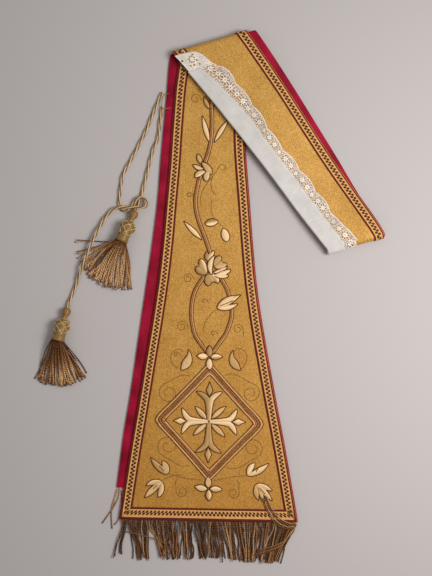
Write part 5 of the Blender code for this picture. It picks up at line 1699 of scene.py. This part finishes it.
def lace_strip(name, marks, first, last, count, worked):
    """A piece of lace, solid at first; then it is opened between its threads and smoothed."""
    rows, unrolled = [], []
    for i, past in enumerate(marks[2]):
        across = across_neck(marks, i, first, last, count)
        lift = 1.0 + 0.5 * max(0.0, 1 - past / 14)
        rows.append([lie(p.x, p.y, -lift - (worked(a, b) or 0.0)) for p, a, b in across])
        unrolled.append([(a / 1000, b / 1000) for _, a, b in across])
    piece = spread(name, rows, unrolled, cotton)
    bpy.ops.object.mode_set(mode="EDIT")
    bpy.ops.mesh.select_mode(type="FACE")
    bpy.ops.mesh.select_all(action="DESELECT")
    bpy.ops.object.mode_set(mode="OBJECT")
    layer = piece.data.uv_layers["unrolled"].data
    for face in piece.data.polygons:
        a, b = (1000 * sum(layer[k].uv[axis] for k in face.loop_indices) / 4 for axis in (0, 1))
        face.select = worked(a, b) is None
    bpy.ops.object.mode_set(mode="EDIT")
    bpy.ops.mesh.delete(type="FACE")
    bpy.ops.mesh.select_mode(type="EDGE")
    bpy.ops.mesh.select_all(action="DESELECT")
    bpy.ops.mesh.select_non_manifold(extend=False, use_wire=False, use_multi_face=False)
    bpy.ops.mesh.vertices_smooth(factor=0.4, repeat=2)
    bpy.ops.mesh.select_mode(type="VERT")
    bpy.ops.object.mode_set(mode="OBJECT")
    return piece


marks = neck_marks(0.0, LACE_CELL)
split = next(i for i, past in enumerate(marks[2]) if past > COLLAR_START)
corner = [run[: split + 1] for run in marks]
beside = [run[split:] for run in marks]
strips = [
    lace_strip("lace_long", beside, lambda along: linen_edge(along) + 0.3, lace_edge, 28, edging_lace),
    lace_strip("lace_corner", corner, lambda along: 0.5 - COLLAR_LIP, lace_edge, 46, corner_lace),
]
lace = joined("lace_edge", strips)
wall = lace.modifiers.new("wall", "SOLIDIFY")
wall.thickness = 0.0005
bpy.ops.object.modifier_apply(modifier="wall")
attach(lace, "root")
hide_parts("collar_lace", "collar_lace_end")


# ------------------------------------------------------------------ fringe
# Bullion sewn to a narrow tape along each wide end, fallen into loose bunches on the table.
BUNCHES = (
    (-117.5, -110.0, -128.0, -121.0, -2.0),
    (-110.0, -82.0, -95.0, -82.0, 1.5),
    (-82.0, -56.0, -66.0, -55.5, 0.0),
    (-56.0, -40.0, -52.0, -41.5, 1.0),
    (-40.0, -22.0, -34.5, -24.5, 0.0),
    (-22.0, -2.0, -12.5, 1.0, -1.5),
    (-2.0, 13.0, 5.0, 18.0, -1.5),
    (13.0, 66.0, 26.0, 61.5, 2.0),
    (66.0, 117.5, 63.5, 94.0, 2.5),
)
STRAND_THICK = 0.0020
TWIST = 0.0052
FRINGE_LENGTH = 51.0
TAPE_AT, TAPE_HEIGHT = -0.6, 4.4  # where the strands leave their tape
TIP_STRAY = 9.0  # how far a tip may fall from its place in the bunch
SWAY = 1.3
# How a strand falls to the table: share of its length, of its drop and of its way sideways.
STRAND_FALL = ((0.0, 0.0, 0.0), (0.22, 0.5, 0.12), (0.5, 1.0, 0.5), (0.75, 1.0, 0.8), (1.0, 1.0, 1.0))
# Strands that hang out past the under half's left corner, and one doubled up over the front's right
# corner: x, y and height of its spots.
LOOSE_LEFT = (
    ((-121.0, 44.5), (-125.2, 38.0), (-130.3, 17.0), (-137.2, 5.5), (-144.0, -4.0)),
    ((-122.5, 43.0), (-125.8, 33.0), (-130.6, 19.4), (-131.6, 5.5), (-130.6, -11.2)),
    ((-120.0, 43.0), (-122.6, 30.0), (-127.5, 20.0), (-133.0, 10.0)),
    ((-119.5, 8.0), (-122.6, 0.0), (-127.5, -6.0)),
)
CROSSING = (
    (-115.0, -13.0, 4.6),
    (-97.0, -17.5, 4.8),
    (-77.4, -22.3, 5.0),
    (-62.0, -28.4, 4.8),
    (-52.7, -37.8, 4.4),
)
THROWN_OVER = (
    (76.3, 28.0, 6.9),
    (80.3, 17.6, 7.3),
    (88.4, 5.2, 7.6),
    (98.0, -2.6, 7.0),
    (107.5, -6.4, 5.4),
    (114.0, -5.8, 4.9),
    (114.5, -11.0, 4.5),
    (107.0, -20.0, 4.4),
    (98.6, -31.0, 4.4),
    (82.0, -37.8, 4.6),
    (63.3, -43.0, 4.4),
)
# Where the doubled strand starts, frayed into a few hairs.
FRAYED_END = Vector((76.5, 26.0, 6.7))
FRAYED_HAIRS, HAIR_THICK = 7, 0.0009
# The under half's fringe, hidden but for its left end: from where, how wide, how many strands, and
# how far up each strand's spots lie.
UNDER_FROM, UNDER_WIDE, UNDER_STRANDS = -118, 228, 60
UNDER_SPOTS = (40.0, 22.0, 4.0)


def fringe_strand(spots, thick=STRAND_THICK):
    """One strand of bullion through spots in millimetres."""
    line = smooth_line([in_metres(Vector(spot)) for spot in spots], 0.0016)
    return strand(line, thick, sides=6, pitch=TWIST, groove=0.4)


def strand_tone(choices):
    """A strand's lightness along it, some lighter than others."""
    light = luck.choice(choices)
    return (light * 0.8, light * luck.uniform(0.7, 1.2), light, light * 0.8, light * 0.5)


fringe_finish = bullion("fringe_bullion")
luck = random.Random(5)
strands, tones = [], []
# Two layers in each bunch: how far apart its strands are, how high they lie and how light they are;
# the lower layer is painted dark, as shade in the gaps between the upper strands.
LAYERS = (
    (2.2, (0.9, 1.3), (0.03, 0.06, 0.10, 0.2)),
    (3.3, (2.6, 3.6), (0.08, 0.2, 0.45, 0.6, 0.85)),
)
for root0, root1, tip0, tip1, longer in BUNCHES:
    for apart, levels, choices in LAYERS:
        count = max(2, round((root1 - root0) / apart))
        for k in range(count):
            t = (k + 0.5) / count
            x = root0 + (root1 - root0) * t
            tip = tip0 + (tip1 - tip0) * t + TIP_STRAY * luck.uniform(-1, 1) ** 3
            long = FRINGE_LENGTH + longer + luck.uniform(-4.5, 2.5)
            level = luck.uniform(*levels)
            y = TAPE_AT + math.tan(END_LEAN) * (x - FOLD_SPOT.x)
            spots = []
            for along_it, sunk, aside in STRAND_FALL:
                sway = luck.uniform(-SWAY, SWAY)
                z = TAPE_HEIGHT + (level - TAPE_HEIGHT) * sunk
                spots.append((x + (tip - x) * aside + sway, y - long * along_it, z))
            strands.append(fringe_strand(spots))
            tones.append(strand_tone(choices))
strands.append(fringe_strand(CROSSING))
tones.append((0.2, 0.4, 0.3, 0.2, 0.1))
for k in range(4):
    aside = 2.5 * (k - 1.5)
    spots = [(x + aside * 0.6, y + aside, z + 0.25 * (k % 2)) for x, y, z in THROWN_OVER]
    strands.append(fringe_strand(spots, 0.0019))
    tones.append((0.9, 0.8, 0.4, 0.3, 0.2) if k % 2 else (0.35, 0.25, 0.2, 0.2, 0.2))
for k in range(FRAYED_HAIRS):
    way = math.radians(70 + 14 * k)
    reach = 6.0 + 1.5 * (k % 3)
    tip = FRAYED_END + Vector((math.cos(way) * reach, math.sin(way) * reach, 0.4))
    middle = FRAYED_END.lerp(tip, 0.5) + Vector((0.5, 0, 0))
    strands.append(fringe_strand((FRAYED_END, middle, tip), HAIR_THICK))
    tones.append((0.2, 0.3, 0.4, 0.4, 0.4))
fringe = wound("fringe_front_bullion", strands, fringe_finish, tones)
strands, tones = [], []
for route in LOOSE_LEFT:
    strands.append(fringe_strand([(x, y, 1.0) for x, y in route]))
    tones.append((0.9, 0.7, 0.3, 0.15, 0.1))
for k in range(UNDER_STRANDS):
    x = UNDER_FROM + UNDER_WIDE * k / UNDER_STRANDS
    strands.append(fringe_strand([(x, y, 0.9) for y in UNDER_SPOTS], 0.0014))
    tones.append((0.3, 0.3, 0.3, 0.3, 0.3))
fringe_two = wound("fringe_under_bullion", strands, fringe_finish, tones)
for piece, node in ((fringe, "fringe_front"), (fringe_two, "fringe_under")):
    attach(piece, "root")
    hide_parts(node)


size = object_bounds()
